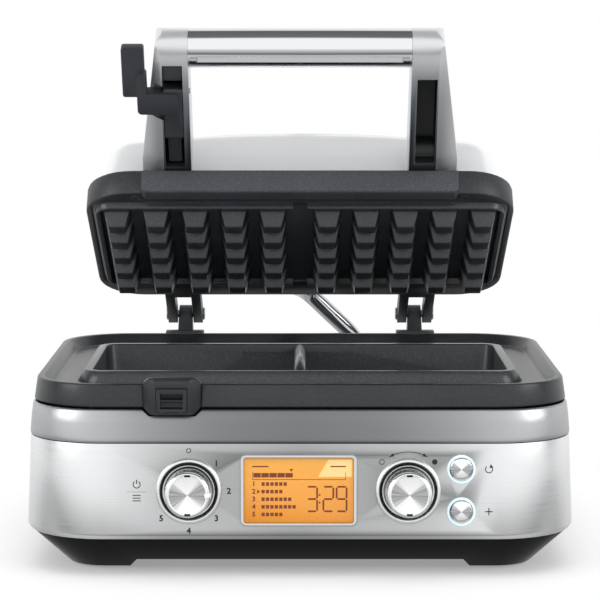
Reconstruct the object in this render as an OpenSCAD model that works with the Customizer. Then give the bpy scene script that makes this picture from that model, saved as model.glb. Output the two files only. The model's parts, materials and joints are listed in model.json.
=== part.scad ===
// Two-square waffle maker with a hinged lid, a tube handle and a front control panel.
// Millimetres, +Z up, front towards -Y. The origin is on the worktop under the middle of the wells.
// The lid is drawn part open, turned about its hinge pins by lid_angle.

/* [Housing] */
// Width of the steel band at its widest
body_w = 305; // [290:1:380]
// Depth of the steel band at its widest
body_d = 243; // [235:1:300]
// Corner radius of the steel band seen from above
corner_r = 45; // [30:1:60]
// Height of the lower edge of the steel band
band_low_z = 21; // [18:0.5:30]
// Height of the seam between the lower and the upper band
seam_z = 73.7; // [70:0.1:90]
// Height of the shoulder above the seam
shoulder_h = 18; // [12:0.5:26]
// Thickness of the steel bands
band_wall = 1.5; // [1:0.1:2.5]
// How far the front panel leans back between its lower and upper edge
front_lean = 2.9; // [1:0.1:5]
// How far each side leans in between its lower and upper edge
side_lean = 2.1; // [1:0.1:5]

/* [Pan and feet] */
// Wall and floor thickness of the plastic pan
pan_wall = 2.5; // [2:0.1:4]
// Height of the underside between the feet
belly_z = 6.3; // [4:0.1:9]
// Half of the clear span between the feet, seen from the front
foot_span = 90; // [60:1:110]
// Half of the clear span between the feet, seen from the side
foot_span_side = 58; // [40:1:80]
// Diameter of the rubber pad under each foot
pad_d = 18; // [10:1:22]
// Thickness of each rubber pad
pad_t = 3; // [2:0.5:5]

/* [Tray and waffle plates] */
// Height of the tray's wall above the steel shoulder
tray_h = 12.6; // [10:0.1:18]
// Spacing of the waffle pockets
pocket_pitch = 22.3; // [18:0.1:26]
// Distance from the middle of the machine to the first column of studs
first_col = 15.7; // [14:0.1:20]
// Distance from the last column of studs to the side wall of the well
side_margin = 13.1; // [10:0.1:18]
// Distance from the last row of studs to the front or back wall of the well
row_margin = 12.7; // [10:0.1:18]
// Depth of each well
well_depth = 30; // [24:0.5:40]
// Width of the raised land around the wells
land_w = 4.5; // [3:0.5:8]
// Width of a stud at its root
stud_root = 16.3; // [12:0.1:17.5]
// Width of a stud at its tip, from side to side
stud_tip_w = 9.7; // [6:0.1:12]
// Depth of a stud at its tip, from front to back
stud_tip_d = 8.7; // [6:0.1:12]
// Height of each stud on the upper plate
upper_stud_h = 12; // [8:0.5:14]
// Height of each stud on the lower plate
lower_stud_h = 11.5; // [8:0.5:14]
// Height of the lip around the upper plate
lip_h = 3.7; // [2:0.1:5]
// Width of the ridge between the two wells
divider_w = 7; // [5:0.5:10]

/* [Lid] */
// Angle by which the lid is open
lid_angle = 29; // [0:1:100]
// Gap between the tray and the closed lid
lid_gap = 1; // [0.6:0.1:3]
// Height of the dark lid frame
lid_frame_h = 15; // [12:0.5:22]
// Width of the frame beyond the upper plate, at each side
frame_side = 5.5; // [3.5:0.5:10]
// Distance from the edge of the upper plate to the front of the frame
frame_front = 12.5; // [9:0.5:20]
// Distance from the edge of the upper plate to the back of the frame
frame_back = 23.5; // [15:0.5:30]
// Corner radius of the lid frame seen from above
frame_r = 27; // [15:1:35]
// Height of the steel lid cover above the frame, at its sides
cover_h = 25; // [18:1:36]
// Rise of the steel lid cover from its sides to its middle
cover_crown = 9; // [0:0.5:12]
// Thickness of the steel lid cover
cover_wall = 1.2; // [0.8:0.1:2]

/* [Handle] */
// Diameter of the handle tube
tube_d = 21.8; // [16:0.1:26.5]
// Wall thickness of the handle tube
tube_wall = 1.5; // [1:0.1:3]
// Clear length of the tube between the two arms
tube_len = 122.4; // [100:0.1:140]
// Distance along each arm from its root to the tube
arm_reach = 73.2; // [60:0.1:90]
// Angle of the arms above level when the lid is closed
arm_rise = 30; // [20:1:45]
// Thickness of each arm at its root
arm_depth = 33; // [26:1:38]
// Width of each arm at its root
arm_root_w = 28; // [22:0.1:30]
// Width of each arm at its tip
arm_tip_w = 18; // [15:0.1:22]
// Width of the channel in each arm
channel_w = 11; // [9:0.5:12]

/* [Latch] */
// Distance along the arm from its root to the latch pin
latch_pin_t = 50; // [44:0.5:54]
// Diameter of the latch pin
latch_pin_d = 3; // [2:0.1:4]
// Length of the hook from the latch pin to its nose
hook_len = 46.5; // [40:0.5:48]
// Distance from the middle of the machine to the middle of the latch catch
catch_x = 69.5; // [60:0.1:75]

/* [Hinge] */
// Distance from the back of the steel band to the hinge pins
pivot_back = 10.5; // [9:0.1:16]
// Height of the hinge pins above the tray
pivot_up = 10; // [9:0.1:16]
// Distance from the middle of the machine to each hinge
hinge_x = 73.5; // [50:0.5:80]
// Diameter of each hinge pin
hinge_pin_d = 5; // [4:0.1:7]
// Running clearance between a hinge pin and its bore, on the radius
pin_clear = 0.05; // [0.02:0.01:0.1]
// Gap between the two ears of a hinge
ear_gap = 10.3; // [9:0.1:14]
// Thickness of each hinge ear
ear_t = 5.8; // [4:0.1:8]
// Radius of the rounded end of each hinge ear
ear_r = 5.9; // [5:0.1:8]

/* [Controls] */
// Height of the middle of both knobs
knob_z = 47.6; // [44:0.1:52]
// Distance from the middle of the machine to the mode knob, to its left
mode_x = 60.4; // [55:0.1:75]
// Distance from the middle of the machine to the browning knob, to its right
browning_x = 58.8; // [55:0.1:75]
// Diameter of both knobs
knob_d = 25.6; // [20:0.1:31]
// How far each knob stands out from the panel
knob_h = 18.3; // [14:0.1:24]
// Diameter of a knob shaft
shaft_d = 6; // [4:0.1:7]
// Diameter of the dished ring around each knob
ring_d = 36; // [34:0.1:42]
// Diameter of each push button
button_d = 12.5; // [10:0.1:15]
// Diameter of the lit ring around each button
button_ring_d = 15.4; // [13:0.1:18]
// Distance from the middle of the machine to the buttons
button_x = 87.6; // [84:0.1:100]
// Height of the upper button
restart_z = 59.5; // [57:0.1:62]
// Height of the lower button
more_z = 36.4; // [33:0.1:40]
// Travel of each button
button_travel = 1.2; // [0.5:0.1:2]
// Width of the display window
screen_w = 59.8; // [40:0.1:64]
// Height of the display window
screen_h = 35.5; // [25:0.1:38]
// Width of the frame around the display window
bezel_w = 1.6; // [1:0.1:3]

/* [Hidden] */
$fn = 64;

// Small amounts shared by several parts
tiny = 0.01;
fit_gap = 0.2;
cut_over = 1;
corner_steps = 9;

// Housing outline: half sizes at the widest level, which is also the foot of the flat panel
half_w = body_w / 2;
half_d = body_d / 2;
wide_z = band_low_z + 3;
band_high_z = seam_z - 0.3;
edge_round = 1.6;
panel_h = band_high_z - wide_z;
panel_lean = atan(front_lean / panel_h);

// Levels of the upper band, tray and plates
band_top_z = seam_z + shoulder_h;
shoulder_in_x = 1.4;
shoulder_in_y = 3;
tray_low_z = band_top_z + 0.7;
tray_top_z = tray_low_z + tray_h;
tray_half_w = half_w - side_lean - 1.8;
tray_half_d = half_d - front_lean - 4.7;
tray_r = corner_r - 3;
moat_z = tray_top_z - 6.5;
tray_floor_t = 3;
rim_w = 3.3;

// Wells
cols = 5;
rows = 5;
well_half_w = first_col + (cols - 1) * pocket_pitch + side_margin;
well_half_d = (rows - 1) / 2 * pocket_pitch + row_margin;
well_r = 8;
well_draft = 1.5;
well_floor_z = tray_top_z - well_depth;
plate_floor_t = 5;
land_half_w = well_half_w + land_w;
land_half_d = well_half_d + land_w;
land_slope = 3.5;
flange_w = 8;
flange_t = 4;

// Lid, in its closed place
lid_z = tray_top_z + lid_gap;
plate_clear = 0.5;
plate_half_w = well_half_w - plate_clear;
plate_half_d = well_half_d - 2 * plate_clear + 0.2;
lid_plate_t = 6;
frame_half_w = plate_half_w + frame_side;
frame_front_y = -plate_half_d - frame_front;
frame_back_y = plate_half_d + frame_back;
frame_mid_y = (frame_front_y + frame_back_y) / 2;
frame_half_d = (frame_back_y - frame_front_y) / 2;
frame_top_z = lid_z + lid_frame_h;
cover_side = 8;
cover_front = 9;
pivot_y = half_d + pivot_back;
pivot_z = tray_top_z + pivot_up;

// Fascia bar under the arms
fascia_t = 10.4;
fascia_low = 4;
fascia_h = lid_frame_h - 0.9;
fascia_w = 2 * (tube_len / 2 + arm_root_w);
fascia_front_y = frame_front_y - fascia_t;
fascia_top_z = lid_z - fascia_low + fascia_h;

// Arms: each is drawn in its own frame, t along the arm, n into the arm from its underside
tube_r = tube_d / 2;
arm_in = tube_len / 2;
arm_wall_in = 3.3;
channel_in = arm_in + arm_wall_in;
channel_out = channel_in + channel_w;
channel_depth = 18;
right_channel = [4, 59];
left_channel = [1.5, 68];
arm_bevel = 11;
tip_round = 6;
clip_turn = 174;
latch_pin_n = 3.5;

// Catch on the front rim
catch_y = -(tray_half_d + 6.9);
catch_half_w = 15.7;
catch_window_w = 12.3;
catch_window_h = 8.3;
catch_window_low = tray_top_z - 12.3;

// Controls
switch_r = 11;
bush_r = 4.5;
knob_base = 1.6;
knob_reach = -panel_y(knob_z) + knob_h * cos(panel_lean) + knob_d / 2 * sin(panel_lean);
screen_x = -0.7;
screen_mid_z = 47.9;

// Gland for the mains lead
gland_z = 38;
gland_r = 7;

// Conduit from the lid into the back of the lower band, and its free stretch behind the hinge
// line as offsets from the middle of the hinge pins
conduit_r = 5.5;
conduit_steps = 5;
conduit_sides = 12;
conduit_end_x = 49;
conduit_end_z = 62;
conduit_start = [-8, -44, 27.8];
conduit_free = [[-4, -25, 20.6], [1, -12, 17.2], [7, -4, 12.3],
                [19.4, 0, 0.2], [32, 1, -12.2], [41, 1.2, -25], [47, 0.8, -38]];

// ---------- helpers ----------

// Rounded rectangle of points at height z, anticlockwise seen from above
function ring(hx, hy, r, z, cy = 0) =
    [for (q = [0:3]) for (i = [0:corner_steps])
        let (a = q * 90 + i * 90 / corner_steps,
             sx = (q == 0 || q == 3) ? 1 : -1,
             sy = q < 2 ? 1 : -1)
        [sx * (hx - r) + r * cos(a), cy + sy * (hy - r) + r * sin(a), z]];

// Housing outline moved in by d, at height z
function housing(d, z) = ring(half_w - d, half_d - d, corner_r - d, z);

// Tray outline moved in by d, at height z
function tray(d, z) = ring(tray_half_w - d, tray_half_d - d, tray_r - d, z);

// Lid frame outline moved in by d, at height z
function frame_ring(d, z) = ring(frame_half_w - d, frame_half_d - d, frame_r - d, z, frame_mid_y);

// Front surface of the panel at height z
function panel_y(z) = -half_d + (z - wide_z) * tan(panel_lean);

// Sides between ring k and ring m, each of n points
function wall_faces(k, m, n) =
    [for (i = [0:n - 1]) let (j = (i + 1) % n)
        each [[k * n + i, m * n + i, m * n + j], [k * n + i, m * n + j, k * n + j]]];

// Closed solid through a stack of rings, capped at both ends
module loft(rings) {
    n = len(rings[0]);
    last = len(rings) - 1;
    polyhedron(points = [for (r = rings) each r],
               faces = concat([[for (i = [0:n - 1]) i]],
                              [[for (i = [n - 1:-1:0]) last * n + i]],
                              [for (k = [0:last - 1]) each wall_faces(k, k + 1, n)]));
}

// Closed band through a loop of rings: up the outside, then down the inside
module band(rings) {
    n = len(rings[0]);
    count = len(rings);
    polyhedron(points = [for (r = rings) each r],
               faces = [for (k = [0:count - 1]) each wall_faces(k, (k + 1) % count, n)]);
}

// Rectangle with round corners, centred
module round_rect(w, h, r) {
    square([w - 2 * r, h], center = true);
    square([w, h - 2 * r], center = true);
    for (x = [-1, 1], y = [-1, 1])
        translate([x * (w / 2 - r), y * (h / 2 - r)]) circle(r, $fn = 32);
}

// Box from corner a to corner b
module span(a, b) {
    translate(a) cube(b - a);
}

// Box from a to b with its long edges along X rounded
module bar_x(a, b, r) {
    translate([a[0], (a[1] + b[1]) / 2, (a[2] + b[2]) / 2])
        rotate([90, 0, 90])
            linear_extrude(b[0] - a[0]) round_rect(b[1] - a[1], b[2] - a[2], r);
}

// Box from a to b with its upright edges rounded
module bar_z(a, b, r) {
    translate([(a[0] + b[0]) / 2, (a[1] + b[1]) / 2, a[2]])
        linear_extrude(b[2] - a[2]) round_rect(b[0] - a[0], b[1] - a[1], r);
}

// Cylinder along X from x0 to x1
module rod_x(x0, x1, r) {
    translate([x0, 0, 0]) rotate([0, 90, 0]) cylinder(h = x1 - x0, r = r);
}

// Places children on the front panel at (x, z), their +Z standing out of it
module on_panel(x, z) {
    translate([x, panel_y(z), z]) rotate([90 - panel_lean, 0, 0]) children();
}

// The same on the back of the lower band
module on_back(x, z) {
    mirror([0, 1, 0]) on_panel(x, z) children();
}

// Turns children, drawn with the lid closed, to the open lid
module on_lid() {
    translate([0, pivot_y, pivot_z]) rotate([-lid_angle, 0, 0])
        translate([0, -pivot_y, -pivot_z]) children();
}

// Places children in the arm frame: x away from the middle, y along the arm, z into it
module on_arm(side) {
    on_lid()
        translate([0, fascia_front_y, fascia_top_z])
            mirror([side < 0 ? 0 : 1, 0, 0])
                rotate([0, 0, 180]) rotate([arm_rise, 0, 0]) children();
}

// Square stud with sloping sides, its root at z = 0 and its tip at z = h
module stud(h) {
    a = stud_root / 2;
    tw = stud_tip_w / 2;
    td = stud_tip_d / 2;
    polyhedron(points = [[-a, -a, 0], [a, -a, 0], [a, a, 0], [-a, a, 0],
                         [-tw, -td, h], [tw, -td, h], [tw, td, h], [-tw, td, h]],
               faces = [[0, 1, 2, 3], [7, 6, 5, 4], [0, 4, 5, 1], [1, 5, 6, 2],
                        [2, 6, 7, 3], [3, 7, 4, 0]]);
}

// The full field of studs
module stud_field(h) {
    for (side = [-1, 1], c = [0:cols - 1], r = [0:rows - 1])
        translate([side * (first_col + c * pocket_pitch), (r - (rows - 1) / 2) * pocket_pitch, 0])
            stud(h);
}

// Bent heating rod in a U, with thinner cold pins
module heater_rod(half_span, x0, x1, r) {
    for (s = [-1, 1]) {
        translate([x0, s * half_span, 0]) rotate([0, 90, 0]) cylinder(h = x1 - x0, r = r);
        translate([x0 - 14, s * half_span, 0]) rotate([0, 90, 0]) cylinder(h = 14.5, r = r / 2.5);
    }
    translate([x1, 0, 0]) rotate([0, 0, -90])
        rotate_extrude(angle = 180) translate([half_span, 0]) circle(r, $fn = 32);
}

// Cross-headed screw, head up at z = 0 and shank below
module screw(head_r, head_h, shank_r, shank_h) {
    difference() {
        union() {
            cylinder(h = head_h, r = head_r, $fn = 32);
            translate([0, 0, -shank_h]) cylinder(h = shank_h + tiny, r = shank_r, $fn = 32);
        }
        for (a = [0, 90])
            rotate([0, 0, a]) translate([-head_r * 0.6, -head_r * 0.14, head_h * 0.45])
                cube([head_r * 1.2, head_r * 0.28, head_h]);
    }
}

// ---------- base ----------

module base_pan() {
    slope = band_low_z;
    top_in = 2.2;
    lip_in = band_wall + edge_round + fit_gap;
    lip_h_in = 5;
    color("#2a2d31") difference() {
        loft([housing(top_in + slope, pad_t / 2), housing(top_in, band_low_z - fit_gap),
              housing(lip_in, band_low_z - fit_gap), housing(lip_in, band_low_z + lip_h_in)]);
        loft([housing(top_in + slope + pan_wall - 8, belly_z + pan_wall),
              housing(lip_in + pan_wall, band_low_z), housing(lip_in + pan_wall, band_low_z + 9)]);
        // clear spans between the feet, from the front and from the side
        translate([0, half_d, 0]) rotate([90, 0, 0]) linear_extrude(body_d)
            polygon([[-foot_span - 6, -cut_over], [foot_span + 6, -cut_over],
                     [foot_span, belly_z], [-foot_span, belly_z]]);
        translate([-half_w, 0, 0]) rotate([90, 0, 90]) linear_extrude(body_w)
            polygon([[-foot_span_side - 6, -cut_over], [foot_span_side + 6, -cut_over],
                     [foot_span_side, belly_z], [-foot_span_side, belly_z]]);
        each_foot() cylinder(h = 2 * pad_t, r = pad_d / 2, center = true);
        each_case_screw() {
            cylinder(h = 2 * (belly_z + 2), r = 4.2, center = true);
            cylinder(h = 60, r = 2.2, center = true);
        }
    }
}

module each_foot() {
    for (x = [-1, 1], y = [-1, 1])
        translate([x * (half_w - 44), y * (half_d - 44), 0]) children();
}

module each_case_screw() {
    for (x = [-1, 1], y = [-1, 1])
        translate([x * (foot_span - 24), y * (foot_span_side + 16), 0]) children();
}

module foot_pads() {
    color("#17181a") each_foot() {
        cylinder(h = pad_t - tiny, r = pad_d / 2 - tiny);
    }
}

module case_screws() {
    color("#8f949a") each_case_screw()
        translate([0, 0, belly_z + 2]) mirror([0, 0, 1]) screw(4, 2, 1.8, 14);
}

module lower_band() {
    inner = band_wall;
    color("#c9ccd0") difference() {
        band([housing(edge_round, band_low_z), housing(0.3, band_low_z + 1.6), housing(0, wide_z),
              ring(half_w - side_lean, half_d - front_lean, corner_r - front_lean, band_high_z),
              ring(half_w - side_lean - inner, half_d - front_lean - inner,
                   corner_r - front_lean - inner, band_high_z),
              housing(inner, wide_z), housing(edge_round + inner, band_low_z)]);
        for (x = [-mode_x, browning_x])
            on_panel(x, knob_z) cylinder(h = 12, r = bush_r, center = true);
        for (z = [restart_z, more_z])
            on_panel(button_x, z) cylinder(h = 12, r = button_ring_d / 2, center = true);
        on_panel(screen_x, screen_mid_z)
            translate([0, 0, -6]) linear_extrude(12) round_rect(screen_w + 2, screen_h + 2, 2);
        // openings at the back for the cord gland and the conduit
        translate([-mode_x, half_d, gland_z]) rotate([90, 0, 0])
            cylinder(h = 24, r = gland_r, center = true);
        on_back(conduit_end_x, conduit_end_z) cylinder(h = 12, r = conduit_r + 1.6, center = true);
    }
}

module upper_band() {
    d0x = side_lean - 0.2;
    d0y = front_lean - 0.2;
    function shoulder(dx, dy, z) = ring(half_w - dx, half_d - dy, corner_r - dy, z);
    in_w = band_wall;
    top_x = side_lean + shoulder_in_x;
    top_y = front_lean + shoulder_in_y;
    color("#c9ccd0") difference() {
        band([shoulder(d0x + 0.5, d0y + 0.5, seam_z), shoulder(d0x, d0y, seam_z + 0.8),
              shoulder(d0x + 0.1, d0y + 0.2, seam_z + 3),
              shoulder(d0x + 0.7, d0y + 1.5, seam_z + shoulder_h * 0.55),
              shoulder(top_x, top_y, band_top_z - 1), shoulder(top_x + 0.8, top_y + 0.8, band_top_z),
              shoulder(top_x + 0.8 + in_w, top_y + 0.8 + in_w, band_top_z),
              shoulder(d0x + 0.5 + in_w, d0y + 0.5 + in_w, seam_z)]);
        // notch under the catch
        translate([-catch_x, -half_d, 0]) rotate([-90, 0, 0]) linear_extrude(16)
            polygon([[-catch_half_w - 2, -band_top_z - cut_over], [catch_half_w + 2, -band_top_z - cut_over],
                     [catch_half_w - 3, -band_top_z + 3.4], [-catch_half_w + 3, -band_top_z + 3.4]]);
    }
}

module top_tray() {
    skirt_in = 4.4;
    skirt_drop = 4.4;
    open_w = land_half_w + land_slope + 0.3;
    open_d = land_half_d + land_slope + 0.3;
    open_r = well_r + land_w + land_slope;
    under_z = moat_z - tray_floor_t;
    color("#3a3d42") difference() {
        band([tray(skirt_in, tray_low_z - skirt_drop), tray(skirt_in, tray_low_z),
              tray(0.4, tray_low_z), tray(0, tray_low_z + 0.6), tray(1.6, tray_top_z - 1.2),
              tray(2, tray_top_z - 0.3), tray(2.7, tray_top_z), tray(rim_w + 2, tray_top_z),
              tray(rim_w + 2.8, tray_top_z - 0.5), tray(rim_w + 6.2, moat_z + 0.8),
              tray(rim_w + 8.5, moat_z),
              ring(open_w, open_d, open_r, moat_z), ring(open_w, open_d, open_r, under_z),
              tray(rim_w + 8.5, under_z), tray(skirt_in + 2.5, tray_low_z - skirt_drop)]);
        // pocket for the catch in the front of the rim
        span([-catch_x - catch_half_w - 0.1, -tray_half_d - 3, tray_low_z - 8],
             [-catch_x + catch_half_w + 0.1, -tray_half_d + 3.1, tray_top_z + 5]);
    }
}

module lower_plate() {
    under_z = moat_z - tray_floor_t - fit_gap;
    wall_out = 3;
    function well(d, z) = ring(well_half_w - d, well_half_d - d, well_r, z);
    function land(d, z) = ring(land_half_w + d, land_half_d + d, well_r + land_w + d, z);
    ridge_top = tray_top_z - 0.2;
    color("#33363a") {
        difference() {
            loft([land(-1.5, well_floor_z - plate_floor_t), land(-1.5, under_z - flange_t),
                  land(flange_w, under_z - flange_t), land(flange_w, under_z),
                  land(land_slope, under_z), land(land_slope, moat_z),
                  land(0.6, tray_top_z - 0.5), land(0, tray_top_z),
                  well(-0.6, tray_top_z), well(0, tray_top_z - 0.6),
                  well(well_draft, well_floor_z + 1), well(well_draft + 1, well_floor_z)]);
            for (x = [-1, 1], y = [-1, 1])
                translate([x * (land_half_w - 30), y * (land_half_d + 5.2), under_z - flange_t])
                    cylinder(h = 20, r = 1.6, center = true);
        }
        // ridge between the wells, rounded on top
        translate([0, well_half_d - 0.3, 0]) rotate([90, 0, 0])
            linear_extrude(2 * well_half_d - 0.6) {
                translate([0, ridge_top - divider_w / 2]) circle(divider_w / 2);
                polygon([[-divider_w / 2 - 1.5, well_floor_z - 1], [divider_w / 2 + 1.5, well_floor_z - 1],
                         [divider_w / 2, ridge_top - divider_w / 2],
                         [-divider_w / 2, ridge_top - divider_w / 2]]);
            }
    }
}

// The studs are cast with the plate, and stand in a node of their own so that contact is open between them
module lower_studs() {
    color("#33363a") translate([0, 0, well_floor_z]) stud_field(lower_stud_h);
}

module lower_heater() {
    rod_r = 3.5;
    color("#6d6f72") translate([0, 0, well_floor_z - plate_floor_t - rod_r])
        heater_rod(well_half_d / 2, -well_half_w + 34, well_half_w - 44, rod_r);
}

module lower_thermostat() {
    color("#b9bcc0") translate([0, 0, well_floor_z - plate_floor_t - 9])
        cylinder(h = 9, r = 8);
}

module heat_shield() {
    wall = 1;
    low = well_floor_z - plate_floor_t - 16;
    high = well_floor_z - plate_floor_t - 2;
    x = land_half_w - 4;
    y = land_half_d - 4;
    color("#b4b7bb") difference() {
        bar_z([-x, -y, low], [x, y, high], 6);
        bar_z([-x + wall, -y + wall, low + wall], [x - wall, y - wall, high + 9], 5);
        for (s = [-1, 1])
            translate([-x, s * well_half_d / 2, high - 2]) rotate([0, 90, 0])
                cylinder(h = 10, r = 3, center = true);
    }
}

module power_board() {
    low = belly_z + pan_wall + 6;
    color("#2f6b3f") {
        span([-58, 10, low], [58, 70, low + 1.6]);
        span([-50, 20, low + 1.6], [-22, 42, low + 19]);
        span([-10, 20, low + 1.6], [14, 38, low + 16]);
        for (i = [0:2])
            translate([28 + i * 10, 30, low + 1.6]) cylinder(h = 13, r = 4);
        // mounting pillars down to the pan
        for (x = [-50, 50], y = [16, 64])
            translate([x, y, belly_z + pan_wall]) cylinder(h = 6, r = 3);
    }
}

module catch_housing() {
    top = tray_top_z + 3.8;
    low = band_top_z - 2.4;
    front = catch_y;
    back = -tray_half_d + 3;
    w = catch_half_w;
    nose = 9.5;
    color("#34373b") difference() {
        union() {
            // chamfered boss, wide at the rim and narrow at the nose
            translate([-catch_x, 0, low]) linear_extrude(top - low)
                polygon([[-w, back], [-w, -tray_half_d - 1.5], [-nose, front], [nose, front],
                         [w, -tray_half_d - 1.5], [w, back]]);
        }
        // sloping top towards the back, and sloping undersides at both flanks
        translate([-catch_x - w - 1, 0, 0]) rotate([90, 0, 90]) linear_extrude(2 * w + 2)
            polygon([[front + 2.2, top + 1], [front - 1, top + 1], [front - 1, top - 2.6]]);
        for (s = [-1, 1])
            translate([-catch_x, front - 1, 0]) rotate([-90, 0, 0]) linear_extrude(24)
                polygon([[s * (w + 1), -low - 4.5], [s * (w + 1), -low + 1], [s * (nose + 1.5), -low + 1]]);
        for (s = [-1, 1])
            translate([-catch_x, front - 1, 0]) rotate([-90, 0, 0]) linear_extrude(24)
                polygon([[s * (w + 1), -top + 3.4], [s * (w + 1), -top - 1], [s * (nose + 2.4), -top - 1]]);
        // pocket that holds the insert
        span([-catch_x - catch_window_w / 2 - 2.2, front - 1, catch_window_low - 1.8],
             [-catch_x + catch_window_w / 2 + 2.2, front + 8, catch_window_low + catch_window_h + 2.6]);
    }
}

module catch_insert() {
    w = catch_window_w / 2;
    out = w + 2.2 - 0.05;
    low = catch_window_low;
    high = low + catch_window_h;
    color("#26282b") difference() {
        union() {
            span([-catch_x - out, catch_y - 0.6, low - 1.75], [-catch_x + out, catch_y + 7.95, high + 2.55]);
            // two small lugs under the window
            for (s = [-1, 1])
                span([-catch_x + s * 4.8 - 1.4, catch_y - 0.6, low - 2.8],
                     [-catch_x + s * 4.8 + 1.4, catch_y - 0.05, low - 1.7]);
        }
        difference() {
            span([-catch_x - w, catch_y - 3, low], [-catch_x + w, catch_y + 6.5, high]);
            // bar across the window
            bar_x([-catch_x - w - 1, catch_y + 2.5, low + 3.2],
                  [-catch_x + w + 1, catch_y + 4.5, low + 4.8], 0.7);
        }
    }
}

// ---------- front controls ----------

module display_bezel() {
    color("#e6e8ea") on_panel(screen_x, screen_mid_z) difference() {
        union() {
            linear_extrude(1.2) round_rect(screen_w + 2 * bezel_w, screen_h + 2 * bezel_w, 3);
            translate([0, 0, -band_wall]) linear_extrude(band_wall + tiny)
                round_rect(screen_w + 2, screen_h + 2, 2);
        }
        translate([0, 0, -4]) linear_extrude(8) round_rect(screen_w, screen_h, 1.4);
    }
}

module display_window() {
    color("#f8a12a") on_panel(screen_x, screen_mid_z) translate([0, 0, -1])
        linear_extrude(1) round_rect(screen_w - 0.1, screen_h - 0.1, 1.3);
}

module display_module() {
    color("#3b3a36") on_panel(screen_x, screen_mid_z) translate([0, 0, -8])
        linear_extrude(6.2) round_rect(screen_w + 5, screen_h + 2.6, 2);
}

module control_board() {
    color("#2f6b3f") on_panel(screen_x, screen_mid_z) {
        translate([0, 0, -11]) linear_extrude(1.6) round_rect(screen_w + 16, screen_h + 4, 1.5);
        // spacers between the board and the display
        for (x = [-1, 1], y = [-1, 1])
            translate([x * 26, y * 14, -9.4]) cylinder(h = 1.4, r = 2);
    }
}

module button_board() {
    mid = (restart_z + more_z) / 2;
    tall = restart_z - more_z + 16;
    color("#2f6b3f") on_panel(button_x, mid) translate([0, 0, -13])
        linear_extrude(1.6) round_rect(18, tall, 1);
}

module button_switches() {
    mid = (restart_z + more_z) / 2;
    half = (restart_z - more_z) / 2 / cos(panel_lean);
    color("#1f2124") on_panel(button_x, mid)
        for (s = [-1, 1])
            translate([0, s * half, -11.4]) {
                linear_extrude(2.4) square([6, 6], center = true);
                translate([0, 0, 2.4]) cylinder(h = 0.5, r = 1.6);
            }
}

// Dished ring around a knob
module knob_ring() {
    r1 = ring_d / 2;
    r0 = knob_d / 2 + 0.5;
    rotate_extrude() polygon([[r0, 0], [r1 - 0.6, 0], [r1, 0.5], [r1 - 0.3, 1.4], [r1 - 1.2, 2],
                              [r1 - 2.2, 1.9], [r0 + 0.9, 0.8], [r0, 0.9]]);
}

module mode_ring() {
    color("#d5d7da") on_panel(-mode_x, knob_z) knob_ring();
}

module browning_ring() {
    color("#d5d7da") on_panel(browning_x, knob_z) knob_ring();
}

// Rotary switch with a threaded bush, bored for its shaft
module rotary_body(tall) {
    difference() {
        union() {
            translate([0, 0, -band_wall - tall]) cylinder(h = tall, r = switch_r);
            translate([0, 0, -band_wall - tiny]) cylinder(h = band_wall + 1.3, r = bush_r);
            for (a = [-40, 0, 40])
                rotate([0, 0, a]) translate([0, -switch_r - 2, -band_wall - tall + 2])
                    cube([2.4, 8, 1.2], center = true);
        }
        translate([0, 0, -band_wall - tall + 3]) cylinder(h = tall + 12, r = shaft_d / 2 + pin_clear);
    }
}

module mode_switch() {
    color("#4a4d52") on_panel(-mode_x, knob_z) rotary_body(15);
}

module browning_encoder() {
    color("#4a4d52") on_panel(browning_x, knob_z) rotary_body(11);
}

module panel_nuts() {
    color("#a9adb2") for (x = [-mode_x, browning_x])
        on_panel(x, knob_z) difference() {
            cylinder(h = 1.2, r = bush_r + 2.6, $fn = 6);
            translate([0, 0, -1]) cylinder(h = 4, r = bush_r);
        }
}

// Shaft that turns with its knob
module shaft(depth) {
    translate([0, 0, -depth]) cylinder(h = depth + knob_h - 5, r = shaft_d / 2);
}

module mode_shaft() {
    color("#c2c5c9") on_panel(-mode_x, knob_z) shaft(band_wall + 11);
}

module browning_shaft() {
    color("#c2c5c9") on_panel(browning_x, knob_z) shaft(band_wall + 7);
}

// Turned knob shell: waisted side, rounded front edge, recess for its cap
module knob_shell() {
    r = knob_d / 2;
    cap_r = r - 1.7;
    difference() {
        rotate_extrude() polygon(concat(
            [[0, knob_base], [r - 0.4, knob_base], [r, knob_base + 0.4], [r, knob_base + 3],
             [r - 0.5, knob_h * 0.55]],
            [for (a = [0:15:90]) [r - 1.7 + 1.2 * cos(a), knob_h - 1.2 + 1.2 * sin(a)]],
            [[0, knob_h]]));
        translate([0, 0, knob_h - 0.8]) cylinder(h = 3, r = cap_r);
        // hollow back around the boss, bored for the shaft and clear of the nut
        translate([0, 0, -1]) cylinder(h = knob_h - 4, r = shaft_d / 2);
        difference() {
            translate([0, 0, -1]) cylinder(h = knob_h - 4, r = r - 2.4);
            translate([0, 0, knob_base + 1]) cylinder(h = knob_h, r = shaft_d / 2 + 2);
        }
    }
}

module mode_knob_body() {
    color("#e2e4e6") on_panel(-mode_x, knob_z) difference() {
        knob_shell();
        pointer_space(0.05);
    }
}

module browning_knob_body() {
    color("#e2e4e6") on_panel(browning_x, knob_z) knob_shell();
}

// Spun cap, very slightly dished
module knob_cap() {
    r = knob_d / 2 - 1.7 - 0.05;
    translate([0, 0, knob_h - 0.8]) rotate_extrude()
        polygon([[0, 0], [r, 0], [r, 0.7], [r - 0.3, 0.9], [r - 2, 0.75], [0, 0.55]]);
}

// Space for the pointer, at three o'clock
module pointer_space(extra) {
    r = knob_d / 2;
    translate([r - 3.6 - extra, -1.1 - extra, knob_h - 5 - extra])
        cube([5, 2.2 + 2 * extra, 8 + 2 * extra]);
}

module mode_knob_cap() {
    color("#cfd1d4") on_panel(-mode_x, knob_z) difference() {
        knob_cap();
        pointer_space(0.05);
    }
}

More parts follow.
